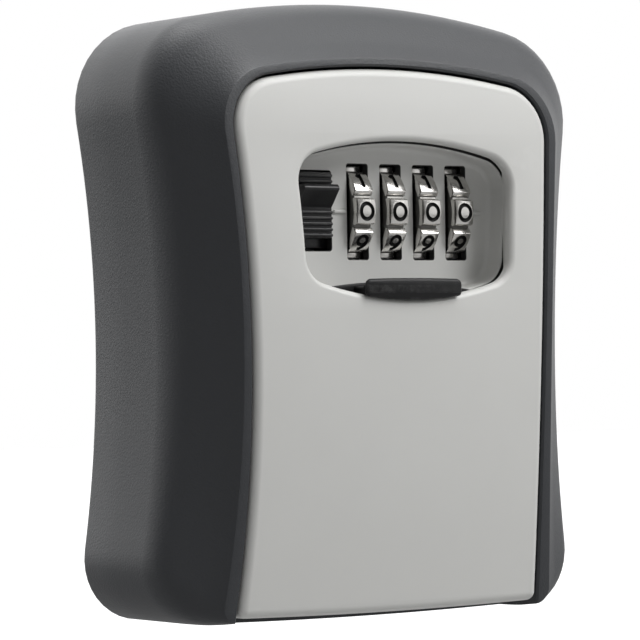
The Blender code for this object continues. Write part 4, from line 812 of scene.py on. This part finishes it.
# Painted shade: the wheel's turned body, its hub and the floor between the pads, is a dark grey that stands
# for the shade in the slot
wheel_body = plated("wheel_body", (0.105, 0.103, 0.098), 0.34, size=0.00016, bump=0.000008, change=0.3,
                    rubbed=(0.45, 0.44, 0.42), reach=0.5)
WHEEL_HALF, GROOVE_R, PAD_R, PAD_HALF, PADS = 0.0022, 0.0092, 0.01035, 0.0024, 10
PAD_EDGE = 0.00028


def pad_shape():
    """One pad in front of the shaft: a sector with a rounded face, slanting ends and eased edges."""
    rows = []
    for grow, side in eased(-WHEEL_HALF, WHEEL_HALF, PAD_EDGE):
        reach = PAD_R + grow
        corner = math.asin((PAD_HALF + grow) / reach)
        below = [(0.0080, -0.0021), (GROOVE_R + grow, -0.00262),
                 (reach * math.cos(corner) - 0.00022, -reach * math.sin(corner) - 0.00003)]
        turns = ((i / 4 - 1) * (corner - 0.012) for i in range(9))
        face = [(reach * math.cos(turn), reach * math.sin(turn)) for turn in turns]
        row = below + face + [(depth, -z) for depth, z in reversed(below)]
        rows.append([(side, -depth, z) for depth, z in row])
    return loft("pad_shape", rows, nickel, 25, flat=True)


# Wheel tree: pads at equal turns round the shaft
ring_tree, ends, stood = standing_tree("pads round a shaft", "Pad", ("Pad count", 'NodeSocketInt'))
spots = add(ring_tree, 'GeometryNodeMeshLine', -550, 150, {"Offset": (0, 0, 0)})
number = add(ring_tree, 'GeometryNodeInputIndex', -700, -450)
share = maths(ring_tree, 'DIVIDE', -500, -450)
angle = maths(ring_tree, 'MULTIPLY', -300, -450, {1: math.tau})
spin = add(ring_tree, 'ShaderNodeCombineXYZ', -100, -450)
wire(ring_tree, (ends, "Pad count", spots, "Count"), (spots, 0, stood, "Points"), (number, 0, share, 0),
     (ends, "Pad count", share, 1), (share, 0, angle, 0), (angle, 0, spin, "X"), (spin, 0, stood, "Rotation"))


def bend(cx, cy, rx, ry, start, end, steps=14):
    """Points of an elliptic arc between two angles in degrees, for a stroke of a number."""
    turns = (math.radians(start + (end - start) * i / steps) for i in range(steps + 1))
    return [(cx + rx * math.cos(a), cy + ry * math.sin(a)) for a in turns]


def bar(u0, v0, u1, v1, steps=6):
    """Points of a straight stroke, close enough together to follow the wheel's round."""
    return [(u0 + (u1 - u0) * i / steps, v0 + (v1 - v0) * i / steps) for i in range(steps + 1)]


# Strokes of the ten numbers, in shares of the number's height; a stroke that ends where it starts is closed
NUMBER_SHARES = {
    0: [bend(0, 0, 0.46, 0.50, 90, 450, 28)],
    1: [bar(-0.22, 0.24, 0.02, 0.48), bar(0.06, 0.54, 0.06, -0.54)],
    2: [bend(0, 0.20, 0.34, 0.30, 165, -30), bar(0.30, 0.06, -0.33, -0.47), bar(-0.38, -0.50, 0.38, -0.50)],
    3: [bend(0, 0.25, 0.31, 0.25, 150, -90), bend(0, -0.25, 0.35, 0.25, 90, -150)],
    4: [bar(0.16, -0.54, 0.16, 0.54), bar(0.14, 0.46, -0.38, -0.17), bar(-0.42, -0.20, 0.40, -0.20)],
    5: [bar(0.34, 0.50, -0.28, 0.50), bar(-0.25, 0.46, -0.28, 0.04), bend(0, -0.18, 0.34, 0.32, 135, -150)],
    6: [bend(0.28, -0.14, 0.62, 0.64, 98, 176), bend(0, -0.18, 0.35, 0.32, 0, 360, 20)],
    7: [bar(-0.38, 0.50, 0.38, 0.50), bar(0.33, 0.46, -0.08, -0.54)],
    8: [bend(0, 0.25, 0.29, 0.25, 0, 360, 20), bend(0, -0.25, 0.36, 0.25, 0, 360, 20)],
    9: [bend(-0.28, 0.14, 0.62, 0.64, -82, -4), bend(0, 0.18, 0.35, 0.32, 0, 360, 20)],
}
NUMBER_HEIGHT, STROKE_R = 0.00305, 0.00042


def stroke_path(number, stroke):
    """A stroke wrapped round the wheel, in x, depth and z from the wheel's middle."""
    spots = []
    for u, v in stroke:
        turn = math.tau * number / PADS + v * NUMBER_HEIGHT / PAD_R
        spots.append((u * NUMBER_HEIGHT, PAD_R * math.cos(turn), PAD_R * math.sin(turn)))
    return spots


pad_piece = pad_shape()
wheel_line = [(-WHEEL_HALF, 0.0046), (-WHEEL_HALF, GROOVE_R - 0.0003), (-WHEEL_HALF + 0.0003, GROOVE_R),
              (WHEEL_HALF - 0.0003, GROOVE_R), (WHEEL_HALF, GROOVE_R - 0.0003), (WHEEL_HALF, 0.0046)]
wheel = turned("wheel", wheel_line, wheel_body, 80, 25)
pads = grown("pads", [(0, 0, 0)], ring_tree, {"Pad": pad_piece, "Finish": nickel, "Pad count": PADS}, 25)
bore = turned("wheel_bore", [(-0.005, 0.0042), (0.005, 0.0042)], wheel_body)
notches = []
for turn in range(PADS // 2):
    notch = block("clutch_notch", (0.0007, 0.0044), (-0.0006, 0.0006), (-0.0051, 0.0051), wheel_body)
    notch.data.transform(Matrix.Rotation(math.tau * turn / PADS, 4, 'X'))
    notches.append(notch)
engraving = bpy.data.collections.new("engraving")
scene.collection.children.link(engraving)
for number, marks in NUMBER_SHARES.items():
    for stroke in marks:
        path = stroke_path(number, stroke)
        closed = (Vector(path[0]) - Vector(path[-1])).length < STROKE_R / 10
        stroke_tube = tube("stroke", [path[:-1] if closed else path], STROKE_R, 2, closed, black_fill)
        scene.collection.objects.unlink(stroke_tube)
        engraving.objects.link(stroke_tube)
combine(wheel, [pads], 'UNION')
combine(wheel, [bore, *notches], 'DIFFERENCE')
step = wheel.modifiers.new("engraving", 'BOOLEAN')
step.operation, step.solver = 'DIFFERENCE', 'EXACT'
step.operand_type, step.collection = 'COLLECTION', engraving
for step in wheel.modifiers:
    step.material_mode = 'TRANSFER'
settle(wheel, [pads, bore, pad_piece, *notches, *engraving.objects], 25)
bpy.data.collections.remove(engraving)
for number, x in enumerate(DIAL_XS, 1):
    mesh = wheel.data.copy()
    mesh.name = "wheel_%d" % number
    mesh.transform(Matrix.Translation((x, -DIAL_DEPTH, DIAL_Z)))
    piece = put("number_wheel_%d" % number, mesh)
    hand_over(piece, "wheel_%d" % number, "nickel", "dial_%d" % number)
bpy.data.objects.remove(wheel, do_unlink=True)


# Code sleeves, shaft and code-change lever
# A brass sleeve with a gated disc turns in each wheel on one polished steel shaft. A small black lever behind
# the cover shifts shaft and sleeves sideways: the wheels then turn free of them and a new code can be set.
brass = plated("sleeve_brass", (0.72, 0.55, 0.26), 0.24, size=0.00015, change=0.25)
for number in range(1, 5):
    ease("cam_%d" % number, 0.0001, brass)
SHAFT_LOW, SHAFT_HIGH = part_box("dial_shaft")
shaft = turned("wheel_shaft", [(SHAFT_LOW[0], 0.0013), (SHAFT_LOW[0] + 0.0003, 0.0016),
                               (SHAFT_HIGH[0] - 0.0003, 0.0016), (SHAFT_HIGH[0], 0.0013)], pin_steel)
shaft.data.transform(Matrix.Translation((0, -DIAL_DEPTH, DIAL_Z)))
hand_over(shaft, "code_carriage", "bright_steel", "dial_shaft")
lever_plastic = moulded("lever_plastic", (0.008, 0.008, 0.009), 0.30, 0.0003, 0.000012, 0.15,
                        (0.06, 0.06, 0.06), 0.6, 0.42)
ease("reset_lever", 0.0002, lever_plastic)


# Latch, open lever and springs
# A steel plate slides down behind the wheels: its teeth drop into the sleeves' gates when the code is right,
# and its nose leaves the keeper. The black lever in the window is screwed to it and a coil spring lifts it
# again. A leaf comb under the wheels clicks into their grooves.
spring_steel = plated("spring_steel", (0.50, 0.49, 0.46), 0.24, size=0.0001, change=0.2)
ease("latch_plate", 0.0001, bright)
ease("lever_screw", 0.0002, bright)
ease("detent_spring", 0.0001, spring_steel)

SPRING_LOW, SPRING_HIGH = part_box("latch_spring")
SPRING_WIRE, SPRING_R, TURNS, COIL_STEPS = 0.0003, 0.0016, 4, 32
spring_x, spring_depth = (SPRING_LOW[0] + SPRING_HIGH[0]) / 2, -(SPRING_LOW[1] + SPRING_HIGH[1]) / 2
coil_low, coil_high = SPRING_LOW[2] + SPRING_WIRE, SPRING_HIGH[2] - SPRING_WIRE
coil = []
for i in range(TURNS * COIL_STEPS + 1):
    angle = math.tau * i / COIL_STEPS
    coil.append((spring_x + SPRING_R * math.cos(angle), spring_depth - SPRING_R * math.sin(angle),
                 coil_low + (coil_high - coil_low) * i / (TURNS * COIL_STEPS)))
latch_spring = tube("lift_spring", [coil], SPRING_WIRE, 3, material=spring_steel)
hand_over(latch_spring, "door", "spring_steel", "latch_spring")
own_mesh(latch_spring)

LEVER_LEFT, LEVER_RIGHT = LEVER_X[0] + 0.0003, LEVER_X[1] - 0.0002
BASE_BACK, BASE_FRONT = 0.026364, 0.027464
PAD_LOW, PAD_TOP, PAD_FACE = 0.0139, 0.0266, 0.029964
TAB_TOP, TAB_NOSE, TAB_FOOT, TAB_FACE = 0.0242, 0.0229, 0.0200, 0.0327
RIB_PITCH, RIB_RISE = 0.0011, 0.0006


def drawn_out(name, line, x, material, edge=0.00018):
    """A profile of depth and z points drawn out along x, with its two ends eased."""
    bm = bmesh.new()
    face = bm.faces.new([bm.verts.new((x[0], -depth, z)) for depth, z in line])
    moved = bmesh.ops.extrude_face_region(bm, geom=[face])
    bmesh.ops.translate(bm, vec=(x[1] - x[0], 0, 0),
                        verts=[v for v in moved["geom"] if isinstance(v, bmesh.types.BMVert)])
    obj = new_object(name, bm, material)
    step = obj.modifiers.new("eased edges", 'BEVEL')
    step.width, step.segments, step.limit_method, step.angle_limit = edge, 3, 'ANGLE', math.radians(20)
    return settle(obj, sharp=50)


tab_line = [(BASE_BACK, PAD_LOW), (PAD_FACE, PAD_LOW), (PAD_FACE, TAB_FOOT - 0.0002),
            (PAD_FACE + 0.0007, TAB_FOOT + 0.0006), (TAB_FACE - 0.0005, TAB_NOSE - 0.0003),
            (TAB_FACE, TAB_NOSE + 0.0003), (TAB_FACE, TAB_TOP - 0.0006), (TAB_FACE - 0.0005, TAB_TOP),
            (PAD_FACE, TAB_TOP), (PAD_FACE, PAD_TOP), (BASE_BACK, PAD_TOP)]
open_lever = drawn_out("open_lever_body", tab_line, (LEVER_LEFT, LEVER_RIGHT), lever_plastic)
lever_base = soft_box("lever_base", (-0.0203, -0.0101), (0.0120, 0.0284), 0.0006,
                      eased(BASE_BACK, BASE_FRONT, 0.0002), lever_plastic)
lever_stem = block("lever_stem", (-0.0194, -0.0152), (0.023264, BASE_FRONT - 0.0001), (0.0163, 0.0223),
                   lever_plastic)

# Rib tree: one rounded rib on each point of a row
rib_tree, ends, stood = standing_tree("ribs in a row", "Rib")
rib_layers = [(0, -0.0003), (0, RIB_RISE - 0.00022), (-0.00006, RIB_RISE - 0.0001), (-0.00018, RIB_RISE)]
rib_piece = soft_box("rib", (LEVER_LEFT + 0.0001, LEVER_RIGHT - 0.0001), (-0.00034, 0.00034), 0.0003,
                     rib_layers, lever_plastic, 60)
rib_spots = [(0, PAD_FACE, PAD_LOW + RIB_PITCH * (i + 0.5)) for i in range(5)]
rib_spots += [(0, PAD_FACE, TAB_TOP + RIB_PITCH * (i + 0.55)) for i in range(2)]
ribs = grown("lever_ribs", rib_spots, rib_tree, {"Rib": rib_piece, "Finish": lever_plastic}, 60)
lever_hole = rod("lever_hole", 0.0012, (-0.0173, 0.016, 0.0193), (-0.0173, 0.025664, 0.0193))
combine(open_lever, [lever_base, lever_stem, ribs], 'UNION')
combine(open_lever, [lever_hole], 'DIFFERENCE')
settle(open_lever, [lever_base, lever_stem, ribs, lever_hole, rib_piece], 40)
hand_over(open_lever, "latch", "black", "open_lever")


# Weather shutter
# A thin black plate that slides up between the door front and the panel and shuts the window against rain.
# Its finger tab stands out of the window and lies on the lower rim when the shutter is parked, as it is here.
shutter_plastic = moulded("shutter_plastic", (0.006, 0.006, 0.0065), 0.44, 0.00022, 0.00002, 0.15,
                          (0.06, 0.06, 0.06), 0.5, 0.26)
SHUTTER_BACK, SHUTTER_FRONT = 0.0339, 0.0349
shutter_shape = outline(0.0280, -0.0255, 1.0, 0.0054, 0.120, -0.0255, 1.300, 0.0020, 0.0020)
shutter = slab("shutter_plate", shutter_shape,
               [(-0.0004, SHUTTER_BACK), (-0.0001, SHUTTER_BACK + 0.0001), (0, SHUTTER_BACK + 0.0004),
                (0, SHUTTER_FRONT - 0.0004), (-0.0001, SHUTTER_FRONT - 0.0001), (-0.0004, SHUTTER_FRONT)],
               shutter_plastic)
TAB_ROOT = outline(0.0112, 0.0036, 1.0, 0.0046, 1.0, 0.0026, 1.0, 0.0006, 0.0006, 0.0018)
TAB_CROWN = outline(0.0116, 0.0040, 1.0, 0.0060, 0.400, 0.0017, 0.075, 0.0012, 0.0009, 0.0018)
tab_crown = [(-0.0004, 0.0386), (-0.0001, 0.0388), (0, 0.0391), (-0.0001, 0.0394), (-0.0003, 0.0396),
             (-0.0006, 0.0397)]
tab = loft("shutter_tab", [ring(TAB_ROOT, 0, 0.0343), ring(TAB_ROOT, 0, 0.0376),
                           *(ring(TAB_CROWN, grow, depth) for grow, depth in tab_crown)], shutter_plastic)
combine(shutter, [tab], 'UNION')
settle(shutter, [tab])
hand_over(shutter, "weather_shutter", "black", "shutter")
